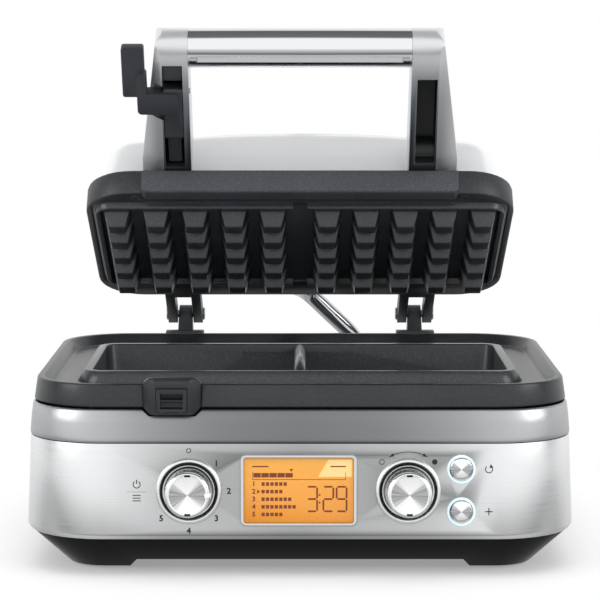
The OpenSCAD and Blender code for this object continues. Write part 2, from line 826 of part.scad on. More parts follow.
module browning_knob_cap() {
    color("#cfd1d4") on_panel(browning_x, knob_z) knob_cap();
}

module mode_pointer() {
    color("#f4f5f6") on_panel(-mode_x, knob_z) intersection() {
        pointer_space(0);
        rotate_extrude() polygon([[0, knob_h - 5], [knob_d / 2 - 0.3, knob_h - 5],
                                  [knob_d / 2 - 0.3, knob_h - 1], [knob_d / 2 - 1.2, knob_h + 0.2],
                                  [0, knob_h + 0.2]]);
    }
}

// Lit ring that guides a button
module light_ring() {
    r = button_ring_d / 2;
    rotate_extrude() polygon([[button_d / 2 + 0.2, -band_wall - 1.5], [r, -band_wall - 1.5], [r, 0.5],
                              [r - 0.3, 0.8], [button_d / 2 + 0.4, 0.8], [button_d / 2 + 0.2, 0.6]]);
}

module restart_light_ring() {
    color("#cfe6ef") on_panel(button_x, restart_z) light_ring();
}

module more_light_ring() {
    color("#cfe6ef") on_panel(button_x, more_z) light_ring();
}

// Domed button cap with its stem
module push_button() {
    r = button_d / 2;
    rotate_extrude() polygon([[0, -8.4 + button_travel], [1.8, -8.4 + button_travel], [1.8, -3], [r, -3],
                              [r, 1.2], [r - 0.5, 1.7], [r - 2, 2], [0, 2.1]]);
}

module restart_button() {
    color("#cfd1d4") on_panel(button_x, restart_z) push_button();
}

module more_button() {
    color("#cfd1d4") on_panel(button_x, more_z) push_button();
}

// ---------- hinge and back ----------

// Bracket behind the tray with an upright arm that is bored for the hinge pin
module hinge_bracket(side) {
    wing = 12;
    back = pivot_y - 1;
    foot = seam_z + 3;
    arm_low = 4.7;
    arm_high = 3.9;
    top_y = half_d - front_lean - shoulder_in_y;
    color("#55585d") translate([side * hinge_x, 0, 0]) difference() {
        union() {
            // wings stand behind the tray and down the back of the shoulder
            translate([-wing, 0, 0]) rotate([90, 0, 90]) linear_extrude(2 * wing)
                polygon([[half_d - front_lean + 0.7, foot], [top_y + 1, band_top_z + 0.3],
                         [tray_half_d + 0.6, band_top_z + 0.5], [tray_half_d + 0.6, tray_top_z + 0.5],
                         [back - 6, tray_top_z + 0.5], [back, tray_top_z - 5], [back, foot + 4],
                         [back - 4, foot]]);
            intersection() {
                translate([-arm_low, 0, 0]) rotate([90, 0, 90]) linear_extrude(2 * arm_low) {
                    translate([pivot_y, pivot_z]) circle(ear_r - 0.3);
                    polygon([[pivot_y - 12, foot + 4], [pivot_y + 3, foot + 4],
                             [pivot_y + ear_r - 0.3, pivot_z], [pivot_y - ear_r + 0.3, pivot_z]]);
                }
                translate([0, pivot_y + 20, 0]) rotate([90, 0, 0]) linear_extrude(60)
                    polygon([[-arm_low, foot], [arm_low, foot], [arm_low, tray_top_z],
                             [arm_high, pivot_z + ear_r], [-arm_high, pivot_z + ear_r],
                             [-arm_low, tray_top_z]]);
            }
        }
        translate([-20, pivot_y, pivot_z]) rotate([0, 90, 0])
            cylinder(h = 40, r = hinge_pin_d / 2 + pin_clear);
        // countersunk screw holes in the wings
        for (x = [-8.5, 8.5])
            translate([x, back + 1, tray_top_z - 16]) rotate([90, 0, 0]) cylinder(h = 40, r = 1.6);
    }
}

module left_hinge_bracket() {
    hinge_bracket(-1);
}

module right_hinge_bracket() {
    hinge_bracket(1);
}

// Strain relief where the mains lead enters
module cord_gland() {
    reach = knob_reach;
    y0 = half_d - band_wall - 3;
    color("#1d1f21") translate([-mode_x, 0, gland_z]) rotate([-90, 0, 0]) difference() {
        translate([0, 0, y0]) rotate_extrude()
            polygon([[0, 0], [gland_r + 2, 0], [gland_r + 2, 1.8], [gland_r - 0.1, 1.8],
                     [gland_r - 0.1, 5.5], [gland_r - 1, 6.5], [5, reach - y0 - 1],
                     [4.4, reach - y0], [0, reach - y0]]);
        translate([0, 0, y0 - 1]) cylinder(h = reach, r = 3.5);
    }
}

// Ferrule that holds the conduit in the back wall: a sleeve through the wall and a flange outside it
module conduit_base_fitting() {
    bore = conduit_r + 0.4;
    sleeve = conduit_r + 1.5;
    color("#3a3d42") on_back(conduit_end_x, conduit_end_z) rotate_extrude()
        polygon([[bore, -8], [sleeve, -8], [sleeve, 0], [sleeve + 1.6, 0], [sleeve + 1.6, 1.6],
                 [sleeve + 0.4, 3], [bore, 3]]);
}

// Catmull-Rom point between b and c
function curve_point(a, b, c, d, u) =
    0.5 * ((2 * b) + (c - a) * u + (2 * a - 5 * b + 4 * c - d) * u * u
           + (3 * b - a - 3 * c + d) * u * u * u);

// Smooth path through the route's own points
function smooth_path(p, steps) =
    let (m = len(p) - 1)
    [for (i = [0:m - 1]) for (s = [0:steps - 1])
        curve_point(p[max(i - 1, 0)], p[i], p[i + 1], p[min(i + 2, m)], s / steps), p[m]];

function unit(v) = v / norm(v);

// Tube swept along a path as one solid
module swept_tube(path, r, sides) {
    last = len(path) - 1;
    side = [1, 0, 0];
    rings = [for (i = [0:last])
        let (t = unit(path[min(i + 1, last)] - path[max(i - 1, 0)]),
             b = unit(cross(t, side)), a = cross(b, t))
        [for (k = [0:sides - 1]) path[i] + r * (a * cos(k * 360 / sides) + b * sin(k * 360 / sides))]];
    polyhedron(points = [for (g = rings) each g],
               faces = concat([[for (i = [sides - 1:-1:0]) i]],
                              [[for (i = [0:sides - 1]) last * sides + i]],
                              [for (k = [0:last - 1]) for (f = wall_faces(k, k + 1, sides))
                                  [f[2], f[1], f[0]]]));
}

module flex_conduit() {
    // both ends run straight, out of the fitting on the lid and into the back wall
    leave = [for (out = [0.6, 4, 8]) [conduit_start[0], conduit_start[1] + out * cos(lid_angle),
                                      conduit_start[2] - out * sin(lid_angle)]];
    entry = [for (out = [9, 3, -6]) [conduit_end_x, out * cos(panel_lean) - panel_y(conduit_end_z),
                                     conduit_end_z + out * sin(panel_lean)]];
    path = concat([for (p = concat(leave, conduit_free)) [p[0], p[1] + pivot_y, p[2] + pivot_z]],
                  entry);
    color("#8d9196") swept_tube(smooth_path(path, conduit_steps), conduit_r - 0.1, conduit_sides);
}

// ---------- lid, drawn closed and then turned ----------

module lid_frame() {
    hole_w = plate_half_w + 2;
    hole_d = plate_half_d + 2;
    hole_r = 11;
    ledge_z = lid_z + 8;
    color("#3a3d42") on_lid() difference() {
        band([frame_ring(1.2, lid_z), frame_ring(0.3, lid_z + 0.4), frame_ring(0, lid_z + 1.2),
              frame_ring(0.4, frame_top_z - 2), frame_ring(1, frame_top_z - 0.5),
              frame_ring(1.8, frame_top_z), frame_ring(cover_side + 2.5, frame_top_z),
              ring(hole_w, hole_d, hole_r, ledge_z), ring(hole_w, hole_d, hole_r, lid_z)]);
        each_lid_screw() cylinder(h = 30, r = 1.55, center = true);
        each_lid_screw() translate([0, 0, -cut_over]) cylinder(h = 1.5 + cut_over, r = 3.4);
    }
}

module each_lid_screw() {
    for (x = [-1, 1])
        translate([x * 93, frame_front_y + 6.5, lid_z]) children();
}

module lid_screws() {
    color("#2b2d30") on_lid() each_lid_screw()
        translate([0, 0, 1.5]) mirror([0, 0, 1]) screw(3.3, 1.9, 1.5, 10);
}

// Steel cover: its rings rise towards the middle of the lid, the more the higher they are
module lid_cover() {
    base_in = 8.6;
    top = frame_top_z + cover_h;
    // ring of points r with each of its two long sides cut into n pieces
    function long_sides(r, n) =
        [for (i = [0:len(r) - 1])
            let (a = r[i], b = r[(i + 1) % len(r)], quarter = corner_steps + 1,
                 k = (i + 1) % (2 * quarter) == quarter ? n : 1)
            for (j = [0:k - 1]) a + (b - a) * j / k];
    // ring moved in by d, drop below the top, and its share of the crown
    function cover(d, drop, share) =
        [for (p = long_sides(ring(frame_half_w - base_in - d, frame_half_d - base_in - 2 - d,
                                  max(frame_r - base_in - d, 9), top - drop, frame_mid_y + 1), 12))
            [p[0], p[1], p[2] + share * cover_crown * (1 - pow(p[0] / frame_half_w, 2))]];
    outer = [[0, cover_h, 0], [2.2, 11, 0.6], [3.2, 7, 0.8], [4, 4.6, 0.9], [5.6, 2.6, 1],
             [8, 1.5, 1], [12, 0.9, 1], [34, 0.2, 1], [48, 0, 1]];
    inner = [[30, 1.2, 1], [16, 1.6, 1], [6.5, 2.8, 1], [4.6, 6, 0.9], [3, 12, 0.55], [0, cover_h, 0]];
    inside = [for (i = inner)
                 cover(i[0] + cover_wall, i[1] + (i[1] < cover_h ? cover_wall : 0), i[2])];
    color("#d3d5d8") on_lid() loft(concat(inside, [for (o = outer) cover(o[0], o[1], o[2])]));
}

module upper_plate() {
    lip_w = 3.4;
    lip_r = 2.5;
    notch = divider_w + 1.2;
    function plate(d, z) = ring(plate_half_w - d, plate_half_d - d, 10, z);
    color("#33363a") on_lid() difference() {
        loft([plate(0.3, lid_z - lip_h), plate(0, lid_z - lip_h + 0.5), plate(-0.2, lid_z),
              ring(plate_half_w + 1.6, plate_half_d + 1.6, 10, lid_z + 0.2),
              ring(plate_half_w + 1.6, plate_half_d + 1.6, 10, lid_z + lid_plate_t)]);
        loft([ring(plate_half_w - lip_w + 0.4, plate_half_d - lip_w + 0.4, lip_r,
                   lid_z - lip_h - cut_over),
              ring(plate_half_w - lip_w, plate_half_d - lip_w, lip_r, lid_z)]);
        // notches that clear the ridge between the wells
        span([-notch / 2, -plate_half_d - 3, lid_z - lip_h - cut_over],
             [notch / 2, plate_half_d + 3, lid_z]);
    }
}

module upper_studs() {
    color("#33363a") on_lid() translate([0, 0, lid_z]) mirror([0, 0, 1]) stud_field(upper_stud_h);
}

module upper_heater() {
    rod_r = 3.5;
    color("#6d6f72") on_lid() translate([0, 0, lid_z + lid_plate_t + rod_r])
        heater_rod(well_half_d / 2, -well_half_w + 34, well_half_w - 44, rod_r);
}

module upper_thermostat() {
    color("#b9bcc0") on_lid() translate([0, 0, lid_z + lid_plate_t]) cylinder(h = 9, r = 8);
}

module fascia_bar() {
    color("#45484d") on_lid() difference() {
        bar_x([-fascia_w / 2, fascia_front_y, fascia_top_z - fascia_h],
              [fascia_w / 2, frame_front_y - 0.05, fascia_top_z], 1.6);
        // small chamfers at both ends
        for (s = [-1, 1])
            translate([s * fascia_w / 2, fascia_front_y, fascia_top_z - fascia_h])
                rotate([0, 45, 0]) cube([3, 60, 3], center = true);
    }
}

// A point of the closed lid, measured back and up from the arm's root, in the arm frame
function in_arm(back, up) =
    [up * sin(arm_rise) - back * cos(arm_rise), back * sin(arm_rise) + up * cos(arm_rise)];

// Side view of an arm: straight underside, tapering back, and a foot on the bar and the frame
function arm_outline() =
    let (c = [arm_reach, tube_r], p = [0, arm_depth], v = p - c,
         a = atan2(v[1], v[0]) - acos(tube_r / norm(v)),
         step = frame_top_z - fascia_top_z + 0.05, foot = arm_depth * sin(arm_rise))
    [[0, 0], [arm_reach, 0], [c[0] + tube_r * cos(a), c[1] + tube_r * sin(a)], [0, arm_depth],
     in_arm(foot, step), in_arm(fascia_t - 0.05, step), in_arm(fascia_t - 0.05, 0)];

module arm_solid() {
    wide = arm_root_w;
    tip = arm_reach + tube_r;
    intersection() {
        translate([arm_in, 0, 0]) rotate([90, 0, 90]) linear_extrude(wide + 1) {
            polygon(arm_outline());
            translate([arm_reach, tube_r]) circle(tube_r);
        }
        translate([0, 0, -5]) linear_extrude(arm_depth + 10)
            polygon(concat([[arm_in, tip], [arm_in, -arm_depth], [arm_in + wide, -arm_depth],
                            [arm_in + wide, 0]],
                           [for (a = [0:22.5:90])
                               [arm_in + arm_tip_w - tip_round * (1 - cos(a)),
                                tip - tip_round * (1 - sin(a))]]));
        // bevel along the outer edge of the underside
        translate([0, -arm_depth, 0]) rotate([-90, 0, 0]) linear_extrude(tip + arm_depth + 4)
            polygon([[arm_in, 5], [channel_out + 0.8, 5], [channel_out + 0.8, 0],
                     [arm_in + wide, -arm_bevel], [arm_in + wide, -arm_depth - 2],
                     [arm_in, -arm_depth - 2]]);
    }
}

module arm_channel(ends, depth) {
    span([channel_in, ends[0], -1], [channel_out, ends[1], depth]);
}

module right_arm() {
    color("#b9bcc0") on_arm(1) difference() {
        arm_solid();
        difference() {
            arm_channel(right_channel, channel_depth);
            // curved floor near the root
            translate([channel_in - 1, right_channel[0] - 2, channel_depth - 2]) rotate([0, 90, 0])
                cylinder(h = channel_w + 2, r = 9);
        }
        arm_bolt_bore();
    }
}

module arm_bolt_bore() {
    translate([arm_in - 1, arm_reach, tube_r]) rod_x(0, 9, 3);
}

module left_arm() {
    color("#b9bcc0") on_arm(-1) difference() {
        arm_solid();
        arm_channel(left_channel, channel_depth);
        // side cutout where the web of the latch comes out
        span([channel_in + 1, 33, -2], [arm_in + arm_root_w + 2, 55, 11]);
        translate([arm_in - 1, latch_pin_t, latch_pin_n]) rod_x(0, arm_root_w, latch_pin_d / 2);
        arm_bolt_bore();
    }
}

module handle_tube() {
    color("#dfe1e3") on_arm(-1) translate([0, arm_reach, tube_r]) difference() {
        rod_x(-arm_in + 0.05, arm_in - 0.05, tube_r - 0.05);
        rod_x(-arm_in - 1, arm_in + 1, tube_r - tube_wall);
        handle_clip_pair(0.02);
    }
}

// Two small oblong buttons, one near each end of the tube
module handle_clip_pair(extra) {
    for (s = [-1, 1])
        translate([s * (arm_in - 2.8), 0, 0]) rotate([clip_turn, 0, 0])
            translate([0, 0, tube_r - tube_wall - 0.4]) linear_extrude(tube_wall + 0.9)
                round_rect(5.2 + 2 * extra, 3.6 + 2 * extra, 1.7);
}

module handle_clips() {
    color("#f1f2f3") on_arm(-1) translate([0, arm_reach, tube_r]) handle_clip_pair(0);
}

module latch_stop() {
    color("#2c2f33") on_arm(-1)
        span([channel_in + 0.1, 58, 1], [channel_out - 0.1, left_channel[1] - 0.05, 11]);
}

module latch_pin() {
    color("#b0b3b7") on_arm(-1) translate([arm_in - 0.6, latch_pin_t, latch_pin_n])
        rod_x(0, arm_wall_in + channel_w, latch_pin_d / 2 - tiny);
}

// Lever: hook inside the channel, web around the front of the arm, paddle outside it
module latch_lever() {
    hook_t = latch_pin_t - hook_len;
    in_x = channel_in + 0.4;
    out_x = channel_out - 0.4;
    web_out = arm_in + 28.5;
    color("#2c2f33") on_arm(-1) difference() {
        union() {
            bar_x([in_x, 20, 0.2], [out_x, latch_pin_t + 2.5, 9.5], 2);
            // slim hook behind the body, with its nose
            span([in_x + 1.4, hook_t, 3.2], [out_x - 1.4, 22, 7]);
            span([in_x + 1.4, hook_t, 6], [out_x - 1.4, hook_t + 3, 9.4]);
            // web around the arm
            bar_z([in_x + 2, 37.5, -1.6], [web_out, 50.6, 6.5], 2.6);
            // neck and paddle
            bar_z([web_out - 5.4, 43, -1.6], [web_out, 63.5, 5.5], 2.4);
            bar_z([web_out - 4.4, 47, 1.6], [web_out + 8, 78.3, 6.8], 1.5);
        }
        translate([arm_in, latch_pin_t, latch_pin_n])
            rod_x(0, arm_wall_in + channel_w + 1, latch_pin_d / 2 + pin_clear);
    }
}

// Pair of ears that carry one hinge pin
module hinge_ears(side) {
    near = ear_gap / 2;
    far = near + ear_t;
    low = lid_z + 3.5;
    high = frame_top_z - 2;
    front = frame_back_y + 0.05;
    c = [pivot_y, pivot_z];
    color("#3a3d42") on_lid() translate([side * hinge_x, 0, 0]) difference() {
        union() {
            for (s = [-1, 1])
                translate([s * (near + ear_t / 2) - ear_t / 2, 0, 0]) rotate([90, 0, 90])
                    linear_extrude(ear_t) {
                        translate(c) circle(ear_r);
                        polygon([[front, low], [c[0], c[1] - ear_r], [c[0] + 1, c[1] + ear_r - 0.1],
                                 [c[0], c[1] + ear_r], [front, high]]);
                    }
            span([-far, front, low], [far, front + 12, high]);
        }
        translate([-30, pivot_y, pivot_z]) rotate([0, 90, 0]) cylinder(h = 60, r = hinge_pin_d / 2);
    }
}

module left_hinge_ears() {
    hinge_ears(-1);
}

module right_hinge_ears() {
    hinge_ears(1);
}

module hinge_pins() {
    half = ear_gap / 2 + ear_t;
    color("#9a9da2") for (side = [-1, 1])
        translate([side * hinge_x, pivot_y, pivot_z]) {
            rod_x(-half, half, hinge_pin_d / 2);
            for (s = [-1, 1])
                translate([s * (half + 0.65) - 0.65, 0, 0]) rod_x(0, 1.3, 3.9);
        }
}

module conduit_lid_fitting() {
    color("#3a3d42")
        translate([conduit_start[0], conduit_start[1] + pivot_y, conduit_start[2] + pivot_z])
            rotate([-lid_angle - 90, 0, 0]) difference() {
                cylinder(h = 7, r = conduit_r + 1.6);
                translate([0, 0, -cut_over]) cylinder(h = 20, r = conduit_r + 0.5);
            }
}

base_pan();
foot_pads();
lower_band();
upper_band();
top_tray();
lower_plate();
lower_studs();
lower_heater();
lower_thermostat();
heat_shield();
power_board();
case_screws();
catch_housing();
catch_insert();
display_bezel();
display_window();
display_module();
control_board();
button_board();
mode_ring();
browning_ring();
mode_switch();
browning_encoder();
panel_nuts();
restart_light_ring();
more_light_ring();
button_switches();
left_hinge_bracket();
right_hinge_bracket();
cord_gland();
conduit_base_fitting();
flex_conduit();
lid_frame();
lid_cover();
upper_plate();
upper_studs();
upper_heater();
upper_thermostat();
lid_screws();
fascia_bar();
left_arm();
right_arm();
handle_tube();
handle_clips();
latch_stop();
latch_pin();
left_hinge_ears();
right_hinge_ears();
hinge_pins();
conduit_lid_fitting();
latch_lever();
mode_shaft();
mode_knob_body();
mode_knob_cap();
mode_pointer();
browning_shaft();
browning_knob_body();
browning_knob_cap();
restart_button();
more_button();
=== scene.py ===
"""Looks of a two-square waffle maker: finishes, refined casings, controls, conduit and a plain studio.

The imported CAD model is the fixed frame. Every new piece is made in metres in the same place.
"""

import json
import logging
import math
from dataclasses import dataclass, field
from enum import Enum

import bpy
from mathutils import Matrix, Vector

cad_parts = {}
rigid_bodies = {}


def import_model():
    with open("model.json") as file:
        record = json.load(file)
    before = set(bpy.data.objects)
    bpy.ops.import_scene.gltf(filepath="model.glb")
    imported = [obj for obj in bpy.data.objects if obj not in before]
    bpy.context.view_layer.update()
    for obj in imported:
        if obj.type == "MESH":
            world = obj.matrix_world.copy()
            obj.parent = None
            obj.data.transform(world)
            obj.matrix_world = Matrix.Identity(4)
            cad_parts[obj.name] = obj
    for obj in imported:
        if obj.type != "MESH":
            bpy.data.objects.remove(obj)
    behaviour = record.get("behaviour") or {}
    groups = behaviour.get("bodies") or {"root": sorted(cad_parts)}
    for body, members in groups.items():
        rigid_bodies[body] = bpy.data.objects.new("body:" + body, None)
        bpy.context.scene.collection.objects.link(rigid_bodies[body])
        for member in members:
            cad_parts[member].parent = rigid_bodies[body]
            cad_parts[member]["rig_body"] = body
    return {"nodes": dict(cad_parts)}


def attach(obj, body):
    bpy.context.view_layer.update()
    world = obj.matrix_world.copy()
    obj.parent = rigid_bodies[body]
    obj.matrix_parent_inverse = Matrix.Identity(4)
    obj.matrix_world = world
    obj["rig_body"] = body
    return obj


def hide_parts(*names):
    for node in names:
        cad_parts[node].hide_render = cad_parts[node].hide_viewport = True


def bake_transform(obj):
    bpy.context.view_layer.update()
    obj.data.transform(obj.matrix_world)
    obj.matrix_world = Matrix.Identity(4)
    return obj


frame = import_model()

LOG = logging.getLogger("waffle_maker")
MM = 0.001
# how far a print stands off the face that it is on
PRINT = 0.03 * MM
# settings that several nodes share
RGBA = {"data_type": "RGBA"}
SMOOTH = {"interpolation_type": "SMOOTHSTEP"}

Tree = bpy.types.NodeTree
Node = bpy.types.Node
Socket = bpy.types.NodeSocket
Piece = bpy.types.Object
Spot = tuple[float, float]
Point = tuple[float, float, float]
Colour = tuple[float, float, float, float]


# ---------------------------------------------------------------- colours and nodes


def linear(code: str) -> Colour:
    """Turns an sRGB hex colour into linear RGBA.

    Args:
        code: six hex digits, with or without a leading hash.

    Returns:
        Red, green and blue in linear light, and an alpha of 1.
    """
    code = code.lstrip("#")
    channels = [int(code[i : i + 2], 16) / 255 for i in (0, 2, 4)]
    rgb = [c / 12.92 if c <= 0.04045 else ((c + 0.055) / 1.055) ** 2.4 for c in channels]
    return (rgb[0], rgb[1], rgb[2], 1.0)


def wire(tree: Tree, node: Node, inputs: dict[object, object]) -> None:
    """Sets or links a node's inputs.

    Args:
        tree: the node tree.
        node: the node whose inputs are set.
        inputs: by name or number, a value, an output socket, or a node whose first output in use is linked.
    """
    for name, value in inputs.items():
        if isinstance(value, Node):
            value = next(socket for socket in value.outputs if socket.enabled)
        if isinstance(value, Socket):
            tree.links.new(value, node.inputs[name])
        else:
            node.inputs[name].default_value = value


def add_node(
    tree: Tree,
    kind: str,
    settings: dict[str, object] | None = None,
    inputs: dict[object, object] | None = None,
) -> Node:
    """Adds a shader node.

    Args:
        tree: the node tree.
        kind: the node's type name, without the prefix that all of them share.
        settings: attributes to set on the node.
        inputs: what its inputs take, by name or number, as for wire.

    Returns:
        The new node.
    """
    node = tree.nodes.new("ShaderNode" + kind)
    for name, value in (settings or {}).items():
        setattr(node, name, value)
    wire(tree, node, inputs or {})
    return node


def set_ramp(node: Node, stops: list[tuple[float, tuple[float, ...]]]) -> None:
    """Sets a colour ramp's stops.

    Args:
        node: a Color Ramp node.
        stops: place and linear RGBA of each stop, in order.
    """
    elements = node.color_ramp.elements
    while len(elements) > len(stops):
        elements.remove(elements[-1])
    while len(elements) < len(stops):
        elements.new(1.0)
    for element, (place, colour) in zip(elements, stops):
        element.position = place
        element.color = colour


# ---------------------------------------------------------------- finishes


@dataclass(frozen=True)
class Finish:
    """A surface finish: its colour and how it takes light."""

    name: str
    colour: str
    roughness: float = 0.5
    metallic: float = 0.0
    coat: float = 0.0
    specular: float = 0.5

    def build(self) -> bpy.types.Material:
        """Makes the material, or returns it if it is already made."""
        known = bpy.data.materials.get(self.name)
        if known:
            return known
        material = bpy.data.materials.new(self.name)
        material.use_nodes = True
        tree = material.node_tree
        shader = tree.nodes["Principled BSDF"]
        plain = {"Base Color": linear(self.colour), "Roughness": self.roughness, "Metallic": self.metallic}
        wire(tree, shader, plain | {"Coat Weight": self.coat, "Specular IOR Level": self.specular})
        place = add_node(tree, "TexCoord").outputs["Object"]
        self.pattern(tree, shader, place)
        material.diffuse_color = linear(self.colour)
        return material

    def pattern(self, tree: Tree, shader: Node, place: Socket) -> None:
        """Adds the finish's own pattern; a plain finish has none."""


@dataclass(frozen=True)
class Moulded(Finish):
    """Injection-moulded ABS with a fine spark-eroded grain: a soft, slightly broken highlight."""

    grain_mm: float = 0.5
    relief: float = 0.12
    tint: str = "#3a3d42"

    def pattern(self, tree: Tree, shader: Node, place: Socket) -> None:
        """Adds fine grain as bump, and a slow change of shade as a moulding has."""
        grain = add_node(
            tree, "TexNoise", inputs={"Vector": place, "Scale": 1 / (self.grain_mm * MM), "Detail": 3.0}
        )
        drift = add_node(tree, "TexNoise", inputs={"Vector": place, "Scale": 14.0, "Detail": 2.0})
        shade = add_node(
            tree, "Mix", RGBA, {"Factor": drift, "A": linear(self.colour), "B": linear(self.tint)}
        )
        wire(tree, shader, {"Base Color": shade})
        rough = add_node(
            tree, "MapRange",
            inputs={"Value": grain, "To Min": self.roughness - 0.06, "To Max": self.roughness + 0.08},
        )
        wire(tree, shader, {"Roughness": rough})
        bump = add_node(tree, "Bump", inputs={"Height": grain, "Strength": self.relief, "Distance": 0.2 * MM})
        wire(tree, shader, {"Normal": bump})


@dataclass(frozen=True)
class NonStick(Finish):
    """Sprayed non-stick coating on cast aluminium: charcoal with fine pale flecks and a silky highlight."""

    fleck: str = "#7a7f86"
    fleck_mm: float = 0.55
    share: float = 0.2

    def pattern(self, tree: Tree, shader: Node, place: Socket) -> None:
        """Adds the flecks to the colour, and the pebbled surface of the spray as bump."""
        spray = add_node(
            tree, "TexNoise",
            inputs={"Vector": place, "Scale": 1 / (self.fleck_mm * MM), "Detail": 2.0, "Roughness": 0.7},
        )
        flecks = add_node(
            tree, "MapRange", SMOOTH,
            {"Value": spray, "From Min": 0.52, "From Max": 0.72, "To Max": self.share},
        )
        cloud = add_node(tree, "TexNoise", inputs={"Vector": place, "Scale": 35.0, "Detail": 3.0})
        amount = add_node(tree, "Math", {"operation": "MULTIPLY_ADD"}, {0: cloud, 1: 0.08, 2: flecks})
        shade = add_node(
            tree, "Mix", RGBA, {"Factor": amount, "A": linear(self.colour), "B": linear(self.fleck)}
        )
        wire(tree, shader, {"Base Color": shade})
        bump = add_node(tree, "Bump", inputs={"Height": spray, "Strength": 0.25, "Distance": 0.15 * MM})
        wire(tree, shader, {"Normal": bump})


@dataclass(frozen=True)
class Brushed(Finish):
    """Stainless sheet brushed along its length: long fine scratches that draw the highlight out across them."""

    stretch: Point = (6.0, 6.0, 1100.0)
    spread: float = 0.55
    # painted reflection: shade at distances from the machine's middle, in millimetres, the soft bands that a
    # bent sheet's reflections show
    painted_reflection_bands: tuple[Spot, ...] = ((0.0, 1.0), (160.0, 1.0))

    def pattern(self, tree: Tree, shader: Node, place: Socket) -> None:
        """Adds scratches as roughness, shade and bump, drawn wider than the real ones so that they show."""
        along = add_node(tree, "Mapping", inputs={"Vector": place, "Scale": self.stretch})
        lines = add_node(
            tree, "TexNoise", inputs={"Vector": along, "Scale": 1.0, "Detail": 4.0, "Roughness": 0.65}
        )
        rough = add_node(
            tree, "MapRange",
            inputs={
                "Value": lines,
                "From Min": 0.3,
                "From Max": 0.7,
                "To Min": self.roughness - 0.05,
                "To Max": self.roughness + 0.06,
            },
        )
        wire(tree, shader, {"Roughness": rough})
        base = linear(self.colour)
        dark = tuple(c * 0.93 for c in base[:3]) + (1.0,)
        shade = add_node(tree, "Mix", RGBA, {"Factor": lines, "A": dark, "B": base})
        parts = add_node(tree, "SeparateXYZ", inputs={"Vector": place})
        away = add_node(tree, "Math", {"operation": "ABSOLUTE"}, {0: parts.outputs["X"]})
        # painted reflection: the colour is darkened in soft bands across the machine
        reach = self.painted_reflection_bands[-1][0]
        share = add_node(tree, "Math", {"operation": "DIVIDE"}, {0: away, 1: reach * MM})
        painted_band_shade = add_node(tree, "ValToRGB", inputs={"Fac": share})
        painted_band_shade.color_ramp.interpolation = "B_SPLINE"
        set_ramp(painted_band_shade, [(x / reach, (v, v, v, 1.0)) for x, v in self.painted_reflection_bands])
        tone = add_node(tree, "VectorMath", {"operation": "MULTIPLY"}, {0: shade, 1: painted_band_shade})
        wire(tree, shader, {"Base Color": tone})
        bump = add_node(tree, "Bump", inputs={"Height": lines, "Strength": 0.05, "Distance": 0.05 * MM})
        wire(tree, shader, {"Normal": bump})
        normal = add_node(tree, "NewGeometry").outputs["Normal"]
        tangent = add_node(
            tree, "VectorMath", {"operation": "CROSS_PRODUCT"}, {0: normal, 1: (0.0, 0.0, 1.0)}
        )
        wire(tree, shader, {"Tangent": tangent})
        shader.inputs["Anisotropic"].default_value = self.spread


@dataclass(frozen=True)
class Spun(Finish):
    """Aluminium faced on a lathe: fine rings that turn the highlight into rays from the middle; the rays are
    also painted into the colour as painted highlight.
    """

    centre: Point = (0.0, 0.0, 0.0)
    axis: Point = (0.0, -1.0, 0.0)
    turn: float = 0.0
    # colour between the painted highlight rays
    dark: str = "#6f7276"
    # radius of the spun face; beyond it the cap has a plain bright rim with a dark notch at top and bottom
    face: float = 1.0
    rim: str = "#fafafa"
    notch: str = "#2b2d30"
    # distance between the lathe's grooves, drawn wider than the real ones so that they show
    groove_mm: float = 0.45

    def pattern(self, tree: Tree, shader: Node, place: Socket) -> None:
        """Adds rings, painted highlight rays about the middle, and a tangent that runs round the axis."""
        arm = add_node(tree, "VectorMath", {"operation": "SUBTRACT"}, {0: place, 1: self.centre})
        parts = add_node(tree, "SeparateXYZ", inputs={"Vector": arm})
        angle = add_node(
            tree, "Math", {"operation": "ARCTAN2"}, {0: parts.outputs["Z"], 1: parts.outputs["X"]}
        )
        # painted highlight: bright and dark rays about the middle, by angle
        turned = add_node(tree, "Math", {"operation": "MULTIPLY_ADD"}, {0: angle, 1: 2.0, 2: self.turn})
        wave = add_node(tree, "Math", {"operation": "COSINE"}, {0: turned})
        fine = add_node(tree, "Math", {"operation": "MULTIPLY"}, {0: angle, 1: 9.0})
        ripple = add_node(
            tree, "TexNoise", {"noise_dimensions": "1D"}, {"W": fine, "Scale": 1.0, "Detail": 3.0}
        )
        painted_lobes = add_node(
            tree, "MapRange", SMOOTH,
            {"Value": wave, "From Min": -0.8, "From Max": 0.6, "To Min": -0.2, "To Max": 0.65},
        )
        both = add_node(tree, "Math", {"operation": "ADD"}, {0: painted_lobes, 1: ripple})
        painted_rays = add_node(tree, "Mix", RGBA, {"Factor": both, "A": linear(self.dark), "B": linear(self.colour)})
        reach = add_node(tree, "VectorMath", {"operation": "LENGTH"}, {0: arm})
        upright = add_node(tree, "Math", {"operation": "COSINE"}, {0: angle})
        notch = add_node(tree, "Math", {"operation": "COMPARE"}, {0: upright, 1: 0.0, 2: 0.15})
        rim = add_node(tree, "Mix", RGBA, {"Factor": notch, "A": linear(self.rim), "B": linear(self.notch)})
        beyond = add_node(tree, "Math", {"operation": "GREATER_THAN"}, {0: reach, 1: self.face})
        shade = add_node(tree, "Mix", RGBA, {"Factor": beyond, "A": painted_rays, "B": rim})
        wire(tree, shader, {"Base Color": shade})
        rings = add_node(
            tree, "Math", {"operation": "MULTIPLY"}, {0: reach, 1: 2 * math.pi / (self.groove_mm * MM)}
        )
        groove = add_node(tree, "Math", {"operation": "SINE"}, {0: rings})
        bump = add_node(tree, "Bump", inputs={"Height": groove, "Strength": 0.06, "Distance": 0.04 * MM})
        wire(tree, shader, {"Normal": bump})
        tangent = add_node(tree, "VectorMath", {"operation": "CROSS_PRODUCT"}, {0: arm, 1: self.axis})
        wire(tree, shader, {"Tangent": tangent})
        shader.inputs["Anisotropic"].default_value = 0.7


